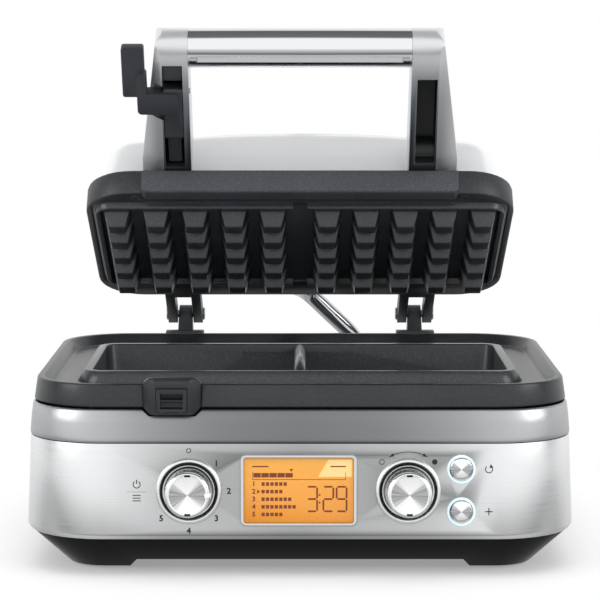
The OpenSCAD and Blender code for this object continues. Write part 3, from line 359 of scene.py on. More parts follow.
@dataclass(frozen=True)
class Cast(Finish):
    """Die-cast metal, blasted and lacquered: even and satin, with a faint mottling."""

    mottle_mm: float = 0.8

    def pattern(self, tree: Tree, shader: Node, place: Socket) -> None:
        """Adds the blasted surface as bump and a little roughness."""
        pits = add_node(
            tree, "TexNoise", inputs={"Vector": place, "Scale": 1 / (self.mottle_mm * MM), "Detail": 3.0}
        )
        rough = add_node(
            tree, "MapRange",
            inputs={"Value": pits, "To Min": self.roughness - 0.05, "To Max": self.roughness + 0.05},
        )
        wire(tree, shader, {"Roughness": rough})
        bump = add_node(tree, "Bump", inputs={"Height": pits, "Strength": 0.05, "Distance": 0.1 * MM})
        wire(tree, shader, {"Normal": bump})


@dataclass(frozen=True)
class PaintedReflectionFade(Cast):
    """Silver lacquer with a painted reflection that deepens to graphite down the face that looks forwards."""

    root: Spot = (-52.4, 218.45)
    along: Spot = (-0.515, 0.857)
    length: float = 84.0
    # painted reflection: colour of the front face along the arm, dark at its root and pale at its far end
    stops: tuple[tuple[float, str], ...] = (
        (0.0, "#303337"), (0.3, "#5a5e63"), (0.55, "#7c8186"),
        (0.72, "#a5a9ad"), (0.85, "#d2d4d6"), (1.0, "#dcdddf"),
    )

    def pattern(self, tree: Tree, shader: Node, place: Socket) -> None:
        """Adds the painted reflection's fade along the arm, on its front face only, over the blasted surface.
        """
        super().pattern(tree, shader, place)
        start = (0.0, self.root[0] * MM, self.root[1] * MM)
        arm = add_node(tree, "VectorMath", {"operation": "SUBTRACT"}, {0: place, 1: start})
        along = add_node(tree, "VectorMath", {"operation": "DOT_PRODUCT"}, {0: arm, 1: (0.0, *self.along)})
        inward = add_node(
            tree, "VectorMath", {"operation": "DOT_PRODUCT"},
            {0: arm, 1: (0.0, self.along[1], -self.along[0])},
        )
        share = add_node(tree, "Math", {"operation": "DIVIDE"}, {0: along, 1: self.length * MM})
        ramp = add_node(tree, "ValToRGB", inputs={"Fac": share})
        set_ramp(ramp, [(at, linear(code)) for at, code in self.stops])
        front = add_node(
            tree, "MapRange", SMOOTH,
            {"Value": inward, "From Min": 0.8 * MM, "From Max": 11 * MM, "To Min": 1.0, "To Max": 0.25},
        )
        # painted highlight: the bevel down the outer side faces sideways and stays pale
        facing = add_node(
            tree, "SeparateXYZ", inputs={"Vector": add_node(tree, "NewGeometry").outputs["Normal"]}
        )
        sideways = add_node(tree, "Math", {"operation": "ABSOLUTE"}, {0: facing.outputs["X"]})
        painted_flank_highlight = add_node(
            tree, "MapRange", SMOOTH,
            {"Value": sideways, "From Min": 0.3, "From Max": 0.5, "To Min": 1.0, "To Max": 0.72},
        )
        amount = add_node(tree, "Math", {"operation": "MULTIPLY"}, {0: front, 1: painted_flank_highlight})
        shade = add_node(tree, "Mix", RGBA, {"Factor": amount, "A": linear(self.colour), "B": ramp})
        wire(tree, shader, {"Base Color": shade})


@dataclass(frozen=True)
class ShadedFoot(Finish):
    """Polished shell with painted shade: a black band round its foot."""

    centre: Point = (0.0, 0.0, 0.0)
    axis: Point = (0.0, -1.0, 0.0)
    height: float = 7.5 * MM
    painted_foot_shade: str = "#0a0b0c"

    def pattern(self, tree: Tree, shader: Node, place: Socket) -> None:
        """Adds the painted shade as a dark band below its height along the axis."""
        arm = add_node(tree, "VectorMath", {"operation": "SUBTRACT"}, {0: place, 1: self.centre})
        out = add_node(tree, "VectorMath", {"operation": "DOT_PRODUCT"}, {0: arm, 1: self.axis})
        level = add_node(
            tree, "MapRange",
            inputs={"Value": out, "From Min": self.height, "From Max": self.height + 0.6 * MM},
        )
        shade = add_node(
            tree, "Mix", RGBA, {"Factor": level, "A": linear(self.painted_foot_shade), "B": linear(self.colour)}
        )
        wire(tree, shader, {"Base Color": shade})


@dataclass(frozen=True)
class Polished(Finish):
    """Polished and plated steel: mirror bright, with the faintest handling marks."""

    def pattern(self, tree: Tree, shader: Node, place: Socket) -> None:
        """Adds faint smears to the roughness."""
        smears = add_node(tree, "TexNoise", inputs={"Vector": place, "Scale": 60.0, "Detail": 4.0})
        rough = add_node(
            tree, "MapRange",
            inputs={
                "Value": smears,
                "To Min": max(self.roughness - 0.03, 0.02),
                "To Max": self.roughness + 0.04,
            },
        )
        wire(tree, shader, {"Roughness": rough})


@dataclass(frozen=True)
class Lit(Finish):
    """A clear window or ring lit from behind: its own even glow under a glossy face."""

    glow: float = 0.5
    edge: str = "#e8860c"
    low: float = 0.0
    high: float = 1.0

    def pattern(self, tree: Tree, shader: Node, place: Socket) -> None:
        """Adds a backlight that is a little deeper at the foot than at the top."""
        parts = add_node(tree, "SeparateXYZ", inputs={"Vector": place})
        level = add_node(
            tree, "MapRange",
            inputs={"Value": parts.outputs["Z"], "From Min": self.low, "From Max": self.high},
        )
        shade = add_node(
            tree, "Mix", RGBA, {"Factor": level, "A": linear(self.edge), "B": linear(self.colour)}
        )
        wire(tree, shader, {"Base Color": shade})
        wire(tree, shader, {"Emission Color": shade})
        shader.inputs["Emission Strength"].default_value = self.glow


@dataclass(frozen=True)
class Palette:
    """Every finish on the machine, named for what the real one is."""

    # brushed 430 stainless: pale, neutral, highlight drawn upright, with painted reflection in bands, darker in
    # the middle and brighter towards the ends
    band_steel: Finish = Brushed(
        "brushed_stainless_band",
        "#f4f5f6",
        0.3,
        1.0,
        painted_reflection_bands=(
            (0, 0.43), (38, 0.55), (72, 0.6), (97, 0.84), (110, 0.98),
            (124, 0.98), (136, 0.8), (146, 1.0), (160, 1.0),
        ),
    )
    # the same sheet where it leans back to the tray: a darker copy, with painted reflection of the darker
    # ceiling, darker in the middle and brighter towards the ends
    shoulder_steel: Finish = Brushed(
        "brushed_stainless_shoulder",
        "#eceef0",
        0.32,
        1.0,
        painted_reflection_bands=((0, 0.24), (38, 0.27), (60, 0.31), (90, 0.44), (112, 0.6), (126, 0.64), (150, 0.6), (160, 0.6)),
    )
    # the lid cover's sheet is brushed more finely, and takes light almost like satin paint
    cover_steel: Finish = Brushed(
        "brushed_stainless_cover", "#f1f2f3", 0.38, 0.5, stretch=(5.0, 700.0, 700.0), spread=0.2
    )
    # dished rings: pressed and blasted aluminium
    ring_satin: Finish = Cast("blasted_aluminium_ring", "#f3f4f4", 0.3, 1.0, mottle_mm=0.4)
    # arms: zinc casting under silver lacquer, with a painted reflection fading to graphite down the front face
    arm_silver: Finish = PaintedReflectionFade("lacquered_zinc_arm", "#e3e4e6", 0.32, 0.75)
    # tube and knob sides: polished stainless
    mirror_steel: Finish = Polished("polished_stainless", "#eceef0", 0.08, 1.0)
    bezel_plate: Finish = Polished("bright_plated_bezel", "#d6d7d9", 0.16, 1.0)
    # tray, plates: sprayed non-stick
    plate_coat: Finish = NonStick(
        "nonstick_plate_coating", "#1f2226", 0.36, coat=0.25, fleck="#7a8087", share=0.36
    )
    # painted shade: the tray's coating is darker than the plates' same coating, standing for the dark
    # reflections on its front faces
    tray_coat: Finish = NonStick(
        "nonstick_tray_coating", "#0e1215", 0.34, coat=0.1, fleck="#656c73", share=0.2
    )
    # lid frame: textured powder coat; the fascia's is a shade lighter
    frame_coat: Finish = NonStick("powder_coated_frame", "#1d2125", 0.45, 0.0, share=0.26)
    fascia_coat: Finish = NonStick("powder_coated_fascia", "#2b2e33", 0.45, 0.0, share=0.3, fleck="#83888e")
    hinge_coat: Finish = NonStick("powder_coated_hinge", "#2a2d31", 0.4, 0.0, share=0.15)
    # pan, latch, catch: glass-filled nylon
    pan_plastic: Finish = Moulded(
        "moulded_nylon_pan", "#060709", 0.3, specular=0.1, relief=0.05, tint="#0a0b0d"
    )
    latch_plastic: Finish = Moulded("moulded_nylon_latch", "#24272b", 0.4, 0.0, tint="#2c3035")
    catch_plastic: Finish = Moulded("moulded_nylon_catch", "#1d2023", 0.36, 0.0, tint="#24272b")
    # painted shade: the dark colour inside the arms' channels, where shade falls
    channel_shade: Finish = Moulded("channel_painted_shade", "#15171a", 0.4, 0.0, tint="#1c1f23")
    pad_rubber: Finish = Moulded("silicone_foot_pad", "#121314", 0.8, 0.0, grain_mm=0.9, tint="#1a1b1d")
    # inner works
    board_green: Finish = Moulded("glass_epoxy_board", "#1c5a34", 0.45, 0.0, tint="#23683d")
    heater_steel: Finish = Cast("oxidised_heater_sheath", "#6f6a66", 0.5, 1.0)
    zinc_plate: Finish = Cast("zinc_plated_steel", "#b4b7bb", 0.38, 1.0)
    case_black: Finish = Moulded("phenolic_switch_case", "#1c1d1f", 0.5, 0.0)
    conduit_steel: Finish = Polished("steel_sheathed_conduit", "#d3d6d9", 0.14, 1.0)
    # prints
    ink: Finish = Finish("screen_printed_ink", "#17181a", 0.55)
    segment: Finish = Finish("display_segment", "#7a3312", 0.5)
    inlay: Finish = Finish("white_pointer_inlay", "#f3f4f5", 0.4)


# ---------------------------------------------------------------- modelling helpers


class Bench:
    """Modelling steps shared by the sub-assemblies."""

    # points closer than this are one, and faces that turn less than this are flat
    MERGE_MM = 0.004
    FLAT_DEGREES = 0.6
    # size of the font for a numeral one unit high, and how much its strokes are thickened
    FONT_SIZE = 1.38
    FONT_WEIGHT = 0.045

    @staticmethod
    def clear() -> None:
        """Leaves edit mode and deselects everything."""
        if bpy.context.object and bpy.context.object.mode != "OBJECT":
            bpy.ops.object.mode_set(mode="OBJECT")
        bpy.ops.object.select_all(action="DESELECT")

    @staticmethod
    def pick(piece: Piece) -> None:
        """Makes one object the selected and active one."""
        Bench.clear()
        piece.select_set(True)
        bpy.context.view_layer.objects.active = piece

    @staticmethod
    def smooth(piece: Piece, degrees: float = 32.0) -> Piece:
        """Shades smooth, with edges sharper than the angle kept crisp."""
        Bench.pick(piece)
        bpy.ops.object.shade_smooth_by_angle(angle=math.radians(degrees))
        return piece

    @staticmethod
    def round_edges(piece: Piece, width: float, segments: int = 2, degrees: float = 30.0) -> Piece:
        """Rounds sharp edges with an applied bevel.

        Args:
            piece: the mesh object.
            width: width of the rounding in metres.
            segments: steps across it.
            degrees: edges sharper than this are rounded.

        Returns:
            The same object.
        """
        Bench.pick(piece)
        bevel = piece.modifiers.new("edges", "BEVEL")
        bevel.width = width
        bevel.segments = segments
        bevel.limit_method = "ANGLE"
        bevel.angle_limit = math.radians(degrees)
        bevel.harden_normals = False
        bpy.ops.object.modifier_apply(modifier=bevel.name)
        return piece

    @staticmethod
    def refine(
        node: str, name: str, edge_mm: float = 0.3, degrees: float = 30.0, merge_flats: bool = True
    ) -> Piece:
        """Copies a CAD node, joins its triangles, rounds its edges and shades it smooth.

        Args:
            node: the CAD node.
            name: the new piece's name.
            edge_mm: width of the edge rounding in millimetres; 0 leaves edges as they are.
            degrees: edges sharper than this are rounded and kept crisp.
            merge_flats: whether triangles on one plane are joined; not for a thin frame round a hole.

        Returns:
            The new piece, which rides on the node's body and replaces it.
        """
        source = frame["nodes"][node]
        piece = bpy.data.objects.new(name, source.data.copy())
        piece.data.name = name
        piece.data.materials.clear()
        bpy.context.scene.collection.objects.link(piece)
        Bench.pick(piece)
        bpy.ops.object.mode_set(mode="EDIT")
        bpy.ops.mesh.select_all(action="SELECT")
        bpy.ops.mesh.remove_doubles(threshold=Bench.MERGE_MM * MM)
        if merge_flats:
            bpy.ops.mesh.dissolve_limited(angle_limit=math.radians(Bench.FLAT_DEGREES))
        bpy.ops.object.mode_set(mode="OBJECT")
        if piece.data.has_custom_normals:
            bpy.ops.mesh.customdata_custom_splitnormals_clear()
        if edge_mm > 0:
            Bench.round_edges(piece, edge_mm * MM, 2, degrees)
        Bench.smooth(piece, degrees + 6)
        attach(piece, source["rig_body"])
        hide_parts(node)
        return piece

    @staticmethod
    def plate(name: str, outline: list[Spot], thickness: float) -> Piece:
        """Makes a thin flat piece from an outline in its own XY plane, its back at z = 0.

        Args:
            name: the piece's name.
            outline: corners in metres, anticlockwise.
            thickness: in metres.

        Returns:
            The new piece, still at the origin.
        """
        mesh = bpy.data.meshes.new(name)
        mesh.from_pydata([(x, y, 0.0) for x, y in outline], [], [list(range(len(outline)))])
        piece = bpy.data.objects.new(name, mesh)
        bpy.context.scene.collection.objects.link(piece)
        Bench.pick(piece)
        bpy.ops.object.mode_set(mode="EDIT")
        bpy.ops.mesh.select_all(action="SELECT")
        bpy.ops.mesh.extrude_region_move(TRANSFORM_OT_translate={"value": (0, 0, thickness)})
        bpy.ops.mesh.select_all(action="SELECT")
        bpy.ops.mesh.normals_make_consistent(inside=False)
        bpy.ops.object.mode_set(mode="OBJECT")
        return piece

    @staticmethod
    def numeral(name: str, text: str, height: float, thickness: float) -> Piece:
        """Makes a generic numeral as a thin solid, centred, in its own XY plane.

        Args:
            name: the piece's name.
            text: the numeral.
            height: its height in metres.
            thickness: in metres.

        Returns:
            The new piece, still at the origin.
        """
        Bench.clear()
        bpy.ops.object.text_add(location=(0, 0, 0))
        piece = bpy.context.object
        piece.name = name
        piece.data.body = text
        piece.data.size = height * Bench.FONT_SIZE
        piece.data.align_x = "CENTER"
        piece.data.align_y = "CENTER"
        piece.data.extrude = thickness / 2
        piece.data.offset = height * Bench.FONT_WEIGHT
        piece.data.resolution_u = 3
        bpy.ops.object.convert(target="MESH")
        return piece

    @staticmethod
    def join(name: str, pieces: list[Piece]) -> Piece:
        """Joins pieces into one object with a name."""
        Bench.clear()
        for piece in pieces:
            piece.select_set(True)
        bpy.context.view_layer.objects.active = pieces[0]
        bpy.ops.object.join()
        pieces[0].name = name
        pieces[0].data.name = name
        return pieces[0]

    @staticmethod
    def paint(piece: Piece, finish: Finish) -> None:
        """Gives a piece one finish in place of any other."""
        piece.data.materials.clear()
        piece.data.materials.append(finish.build())

    @staticmethod
    def dress(piece: Piece, finish: Finish, slot: str) -> None:
        """Gives a piece its finish."""
        Bench.paint(piece, finish)

    @staticmethod
    def outfit(group: str, rows: tuple[tuple[str, str, Finish, str, float], ...]) -> list[Piece]:
        """Refines and dresses CAD nodes.

        Args:
            group: what they belong to, for the log.
            rows: CAD node, the piece's name, its finish, its slot and its edge rounding in millimetres.

        Returns:
            The new pieces, in the same order.
        """
        pieces = []
        for node, name, finish, slot, edge in rows:
            piece = Bench.refine(node, name, edge)
            Bench.dress(piece, finish, slot)
            pieces.append(piece)
            LOG.info("%s: %s", group, name)
        return pieces


def polar(radius: float, degrees: float, centre: Spot = (0.0, 0.0)) -> Spot:
    """The point at a distance and an angle from a middle."""
    angle = math.radians(degrees)
    return (centre[0] + radius * math.cos(angle), centre[1] + radius * math.sin(angle))


def arc_points(radius: float, start: float, end: float, steps: int, centre: Spot = (0.0, 0.0)) -> list[Spot]:
    """Points along an arc.

    Args:
        radius: in metres.
        start: first angle in degrees.
        end: last angle in degrees.
        steps: number of steps between them.
        centre: middle of the arc.

    Returns:
        The points in order.
    """
    return [polar(radius, start + (end - start) * i / steps, centre) for i in range(steps + 1)]


def ring_strip(
    radius: float, width: float, start: float, end: float, steps: int, centre: Spot = (0.0, 0.0)
) -> list[Spot]:
    """Outline of a curved strip, the outer arc first and the inner arc back."""
    outer = arc_points(radius + width / 2, start, end, steps, centre)
    inner = arc_points(radius - width / 2, end, start, steps, centre)
    return outer + inner


def bar(x0: float, y0: float, x1: float, y1: float) -> list[Spot]:
    """Outline of an upright rectangle between two corners."""
    return [(x0, y0), (x1, y0), (x1, y1), (x0, y1)]


def in_metres(outline: list[Spot]) -> list[Spot]:
    """The same outline, turned from millimetres to metres."""
    return [(x * MM, y * MM) for x, y in outline]


# ---------------------------------------------------------------- the front panel's own plane


@dataclass
class Panel:
    """The leaning front panel: turns panel millimetres into the frame's metres."""

    half_depth: float = 121.5
    wide_z: float = 24.0
    top_z: float = 73.4
    lean_in: float = 2.9

    @property
    def lean(self) -> float:
        """How far the panel leans back, in radians."""
        return math.atan(self.lean_in / (self.top_z - self.wide_z))

    def matrix(self, x: float, z: float, out: float = 0.0) -> Matrix:
        """Place and turn of a point on the panel.

        Args:
            x: across, in millimetres.
            z: height, in millimetres.
            out: distance in front of the panel, in millimetres.

        Returns:
            A matrix whose +Z stands out of the panel and whose +Y runs up it.
        """
        y = -self.half_depth + (z - self.wide_z) * math.tan(self.lean)
        turn = Matrix.Rotation(math.pi / 2 - self.lean, 4, "X")
        return Matrix.Translation(Vector((x, y, z)) * MM) @ turn @ Matrix.Translation((0, 0, out * MM))

    def out_of(self) -> Point:
        """The direction straight out of the panel."""
        return (0.0, -math.cos(self.lean), math.sin(self.lean))

    def put(self, piece: Piece, x: float, z: float, out: float = 0.0) -> Piece:
        """Moves a piece drawn at the origin onto the panel and applies its place."""
        piece.data.transform(self.matrix(x, z, out))
        return piece


# ---------------------------------------------------------------- housing


@dataclass
class Housing:
    """Pan, feet, steel bands and what is bolted inside them."""

    palette: Palette
    works: dict[str, str] = field(
        default_factory=lambda: {
            "lower_heater": "heater_steel",
            "lower_thermostat": "zinc_plate",
            "heat_shield": "zinc_plate",
            "power_board": "board_green",
            "control_board": "board_green",
            "button_board": "board_green",
            "button_switches": "case_black",
            "mode_switch": "case_black",
            "browning_encoder": "case_black",
            "panel_nuts": "zinc_plate",
            "display_module": "case_black",
            "case_screws": "zinc_plate",
        }
    )

    def build(self) -> None:
        """Refines the casings and dresses the inner pieces."""
        p = self.palette
        rows = (
            ("base_pan", "pan", p.pan_plastic, "pan_plastic", 0.8),
            ("foot_pads", "pads", p.pad_rubber, "rubber_pad", 0.3),
            ("lower_band", "front_band", p.band_steel, "satin_steel", 0.25),
            ("upper_band", "shoulder_band", p.shoulder_steel, "satin_steel", 0.25),
            ("cord_gland", "mains_gland", p.pad_rubber, "rubber_pad", 0.3),
        )
        Bench.outfit("housing", rows)
        for node, finish in self.works.items():
            Bench.paint(frame["nodes"][node], getattr(p, finish))


# ---------------------------------------------------------------- tray, plates and catch


@dataclass
class Cooking:
    """Tray, the two waffle plates and the catch on the rim."""

    palette: Palette

    def build(self) -> None:
        """Refines the cast pieces and the catch."""
        p = self.palette
        rows = (
            ("top_tray", "tray", p.tray_coat, "nonstick_coat", 0.4),
            ("lower_plate", "well_plate", p.plate_coat, "nonstick_coat", 0.5),
            ("lower_studs", "well_studs", p.plate_coat, "nonstick_coat", 0.7),
            ("upper_plate", "lid_plate", p.plate_coat, "nonstick_coat", 0.45),
            ("upper_studs", "lid_studs", p.plate_coat, "nonstick_coat", 0.7),
            ("catch_housing", "catch_boss", p.catch_plastic, "pan_plastic", 0.7),
            ("catch_insert", "catch_frame", p.catch_plastic, "pan_plastic", 0.3),
        )
        Bench.outfit("cooking", rows)


# ---------------------------------------------------------------- display


class Segments(Enum):
    """Which of a digit's seven bars are on: top, middle, bottom, then the left and right pairs."""

    TWO = "tmb.ur.ll"
    THREE = "tmb.ur.lr"
    NINE = "tmb.ul.ur.lr"


@dataclass
class Display:
    """Amber display with its frame, bar graph, list and clock digits."""

    palette: Palette
    panel: Panel
    x: float = -0.7
    z: float = 47.9
    height: float = 35.5
    bar_t: float = 0.95
    # corners of the painted reflection, a pale glowing wedge at the window's top right, about its middle
    painted_gleam: tuple[Spot, ...] = ((10.5, 7.5), (28.8, 7.5), (28.8, 16.8), (16.2, 16.8))

    def build(self) -> None:
        """Makes the window, its frame and everything that it shows."""
        frame_piece = Bench.refine("display_bezel", "display_frame", 0.2, merge_flats=False)
        Bench.dress(frame_piece, self.palette.bezel_plate, "bright_steel")
        low = (self.z - self.height / 2) * MM
        high = (self.z + self.height / 2) * MM
        amber = Lit(
            "amber_display_window", "#d69428", 0.12, coat=1.0, glow=0.2, edge="#d28208", low=low, high=high
        )
        window = Bench.refine("display_window", "display_lens", 0.3)
        Bench.dress(window, amber, "display_glass")
        marks = self.graph() + self.menu() + self.clock()
        shown = Bench.join("display_marks", marks)
        Bench.dress(shown, self.palette.segment, "display_glass")
        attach(shown, "base")
        # painted reflection: a pale wedge that glows on the window's top right
        painted_gleam = Lit("amber_display_gleam", "#f6bf78", 0.1, 0.0, coat=1.0, glow=0.22, edge="#f6bf78")
        wedge = Bench.plate("display_gleam", in_metres(self.painted_gleam), 0.02 * MM)
        self.panel.put(wedge, self.x, self.z, 0.005)
        Bench.dress(wedge, painted_gleam, "display_glass")
        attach(wedge, "base")
        LOG.info("display: window and %d marks", len(marks))

    def mark(self, outline: list[Spot], label: str) -> Piece:
        """One dark mark just in front of the window, from an outline in millimetres about its middle."""
        return self.panel.put(Bench.plate(label, in_metres(outline), PRINT), self.x, self.z, 0.03)

    def graph(self) -> list[Piece]:
        """The browning bar: five filled blocks, a pointer and a bracket line."""
        marks = []
        left, step, gap = -24.6, 4.35, 0.35
        for i in range(5):
            x = left + i * step
            marks.append(self.mark(bar(x, 7.2, x + step - gap, 9.6), f"block_{i}"))
        marks.append(self.mark([(-4.0, 10.2), (-3.0, 11.8), (-5.0, 11.8)], "pointer"))
        bracket = (bar(-25.2, 5.9, 25.6, 6.2), bar(-25.2, 6.2, -24.95, 10.0), bar(25.35, 6.2, 25.6, 10.0))
        for i, outline in enumerate(bracket):
            marks.append(self.mark(outline, f"bracket_{i}"))
        # plain dashes stand where a machine names the two ends of the scale
        marks.append(self.mark(bar(-25.2, 12.8, -16.5, 13.5), "end_left"))
        marks.append(self.mark(bar(17.2, 12.8, 25.6, 13.5), "end_right"))
        return marks

    def menu(self) -> list[Piece]:
        """The list: numerals 1 to 5, an arrow at the second row, and plain dashes for the names."""
        marks = []
        top, pitch = 3.6, 4.15
        for row, length in enumerate((15.0, 13.5, 19.0, 21.0, 14.0)):
            z = top - row * pitch
            digit = Bench.numeral(f"row_{row + 1}", str(row + 1), 2.6 * MM, 0.03 * MM)
            digit.data.transform(Matrix.Translation((-24.4 * MM, z * MM, 0)))
            marks.append(self.panel.put(digit, self.x, self.z, 0.04))
            for i in range(int(length // 2.4)):
                x = -20.2 + i * 2.4
                marks.append(self.mark(bar(x, z - 0.95, x + 1.75, z + 0.95), f"dash_{row}_{i}"))
        z = top - pitch
        marks.append(self.mark([(-22.6, z - 1.1), (-20.9, z), (-22.6, z + 1.1)], "arrow"))
        return marks

    def clock(self) -> list[Piece]:
        """Clock digits made of seven bars each, with two dots between minutes and seconds."""
        marks = []
        shown = ((4.6, Segments.THREE), (13.4, Segments.TWO), (20.6, Segments.NINE))
        for i, (x, which) in enumerate(shown):
            marks += self.digit(x, -4.6, which, i)
        for z in (-2.4, -6.6):
            marks.append(self.mark(bar(10.9, z - 0.5, 11.8, z + 0.5), f"dot_{z}"))
        return marks

    def digit(self, x: float, z: float, which: Segments, index: int) -> list[Piece]:
        """One seven-bar digit with its left edge at x and its middle at z."""
        w, h, t, m = 5.4, 13.4, self.bar_t, 0.25
        k = t / 2

        def level(y: float) -> list[Spot]:
            a, b = x + m, x + w - m
            return [(a, y), (a + k, y - k), (b - k, y - k), (b, y), (b - k, y + k), (a + k, y + k)]

        def stand(a: float, y0: float, y1: float) -> list[Spot]:
            b, c = y0 + m, y1 - m
            return [(a, b), (a + k, b + k), (a + k, c - k), (a, c), (a - k, c - k), (a - k, b + k)]

        shapes = {
            "t": level(z + h / 2),
            "m": level(z),
            "b": level(z - h / 2),
            "ul": stand(x, z, z + h / 2),
            "ur": stand(x + w, z, z + h / 2),
            "ll": stand(x, z - h / 2, z),
            "lr": stand(x + w, z - h / 2, z),
        }
        parts = which.value.split(".")
        keys = list(parts[0]) + parts[1:]
        return [self.mark(shapes[key], f"bar_{index}_{key}") for key in keys]


# ---------------------------------------------------------------- knobs, buttons and prints


@dataclass
class Controls:
    """Knobs with their rings and dials, and the two lit push buttons."""

    palette: Palette
    panel: Panel
    knob_z: float = 47.6
    mode_x: float = -60.4
    browning_x: float = 58.8
    button_x: float = 87.6
    restart_z: float = 59.5
    more_z: float = 36.4
    dial_r: float = 21.2

    def build(self) -> None:
        """Refines the controls and prints the panel round them."""
        self.knob("mode", self.mode_x, math.pi - 0.2)
        self.knob("browning", self.browning_x, math.pi + 0.1)
        pointer = Bench.refine("mode_pointer", "pointer", 0.15)
        Bench.dress(pointer, self.palette.inlay, "pointer_paint")
        self.button("restart", self.restart_z)
        self.button("more", self.more_z)
        self.print_dial()
        self.print_arc()
        self.print_symbols()

    def spun(self, name: str, x: float, z: float, out: float, turn: float, face: float) -> Finish:
        """A spun finish centred on one control, as far out as the radius of its face."""
        centre = tuple((self.panel.matrix(x, z, out)).translation)
        axis = self.panel.out_of()
        # painted highlight: rays between white and a darker grey about the control's middle
        return Spun(name, "#ffffff", 0.24, 1.0, centre=centre, axis=axis, turn=turn, dark="#7c7f83", face=face)

    def knob(self, side: str, x: float, turn: float) -> None:
        """One knob: dished ring, polished shell and spun cap."""
        ring = Bench.refine(f"{side}_ring", f"{side}_dish", 0.3)
        Bench.dress(ring, self.palette.ring_satin, "satin_steel")
        shell = Bench.refine(f"{side}_knob_body", f"{side}_knob", 0.0)
        foot = tuple(self.panel.matrix(x, self.knob_z).translation)
        # painted shade: a dark band round the foot of the polished shell
        chrome = ShadedFoot(f"knob_shell_{side}", "#eceef0", 0.1, 1.0, centre=foot, axis=self.panel.out_of())
        Bench.dress(shell, chrome, "bright_steel")
        cap = Bench.refine(f"{side}_knob_cap", f"{side}_cap", 0.0)
        Bench.dress(cap, self.spun(f"spun_cap_{side}", x, self.knob_z, 18.3, turn, 9.9 * MM), "spun_metal")
        Bench.paint(frame["nodes"][f"{side}_shaft"], self.palette.zinc_plate)
        LOG.info("controls: %s knob", side)

    def button(self, side: str, z: float) -> None:
        """One push button and its lit ring."""
        ring = Bench.refine(f"{side}_light_ring", f"{side}_ring_light", 0.15)
        glow = Lit(f"lit_ring_{side}", "#d7eef6", 0.3, 0.0, glow=0.35, edge="#cfe9f3")
        Bench.dress(ring, glow, "light_ring")
        cap = Bench.refine(f"{side}_button", f"{side}_push", 0.0)
        Bench.dress(cap, self.spun(f"spun_button_{side}", self.button_x, z, 2.0, math.pi, 1.0), "spun_metal")
        LOG.info("controls: %s button", side)

    def ink(self, name: str, pieces: list[Piece]) -> None:
        """Joins printed marks, dresses them and lets them ride on the base."""
        piece = Bench.join(name, pieces)
        Bench.dress(piece, self.palette.ink, "pan_plastic")
        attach(piece, "base")

    def print_dial(self) -> None:
        """Numerals 1 to 5 round the mode knob, and a small ring for off at the top."""
        marks = []
        for digit, angle in zip("12345", (45, 0, -45, -90, -135)):
            r = self.dial_r + (0.6 if angle in (0, -90) else 0.0)
            mark = Bench.numeral(f"dial_{digit}", digit, 3.3 * MM, 0.04 * MM)
            mark.data.transform(Matrix.Translation((*polar(r * MM, angle), 0)))
            marks.append(self.panel.put(mark, self.mode_x, self.knob_z, 0.03))
        outline = ring_strip(1.15 * MM, 0.42 * MM, 95, 445, 28, (0.0, (self.dial_r + 0.9) * MM))
        marks.append(self.panel.put(Bench.plate("dial_off", outline, PRINT), self.mode_x, self.knob_z, 0.02))
        self.ink("dial_print", marks)

    def print_arc(self) -> None:
        """Double-headed arc over the browning knob, with a pale and a filled dot at its ends."""
        r = 21.4 * MM
        # degrees either side of the top at which the arc, its heads and its dots lie
        line, head, spot = 22, 30, 42
        marks = [Bench.plate("arc", ring_strip(r, 0.4 * MM, 90 - line, 90 + line, 16), PRINT)]
        for s in (-1, 1):
            points = [polar(r, 90 + s * head)]
            points += [polar(r + d, 90 + s * line) for d in (s * 0.9 * MM, -s * 0.9 * MM)]
            marks.append(Bench.plate(f"arc_head_{s}", points, PRINT))
        pale = ring_strip(1.3 * MM, 0.4 * MM, 0, 350, 28, polar(r, 90 + spot))
        marks.append(Bench.plate("pale_spot", pale, PRINT))
        marks.append(Bench.plate("dark_spot", arc_points(1.5 * MM, 0, 350, 27, polar(r, 90 - spot)), PRINT))
        for mark in marks:
            self.panel.put(mark, self.browning_x, self.knob_z, 0.02)
        self.ink("arc_print", marks)

    def print_symbols(self) -> None:
        """Generic symbols: power over a menu, a round arrow, and a plus."""
        power = {
            "power_ring": ring_strip(1.9 * MM, 0.5 * MM, -235, 55, 26),
            "power_bar": in_metres(bar(-0.28, 0.4, 0.28, 2.6)),
            "divide": in_metres(bar(-5.4, -4.1, 5.4, -3.95)),
        }
        for i in range(3):
            y = -5.9 - i * 1.5
            power[f"menu_{i}"] = in_metres(bar(-2.2, y - 0.25, 2.2, y + 0.25))
        again = {
            "again_arc": ring_strip(1.9 * MM, 0.5 * MM, -230, 60, 26),
            "again_head": in_metres([(0.2, 0.6), (2.3, 1.0), (0.9, 2.9)]),
        }
        plus = {
            "plus_level": in_metres(bar(-2.0, -0.28, 2.0, 0.28)),
            "plus_upright": in_metres(bar(-0.28, -2.0, 0.28, 2.0)),
        }
        beside = self.button_x + 15.0
        marks = []
        for shapes, x, z in (
            (power, self.mode_x - 28.3, self.knob_z + 3.6),
            (again, beside, self.restart_z),
            (plus, beside, self.more_z),
        ):
            for name, outline in shapes.items():
                marks.append(self.panel.put(Bench.plate(name, outline, PRINT), x, z, 0.02))
        self.ink("symbol_print", marks)


# ---------------------------------------------------------------- lid, handle and latch


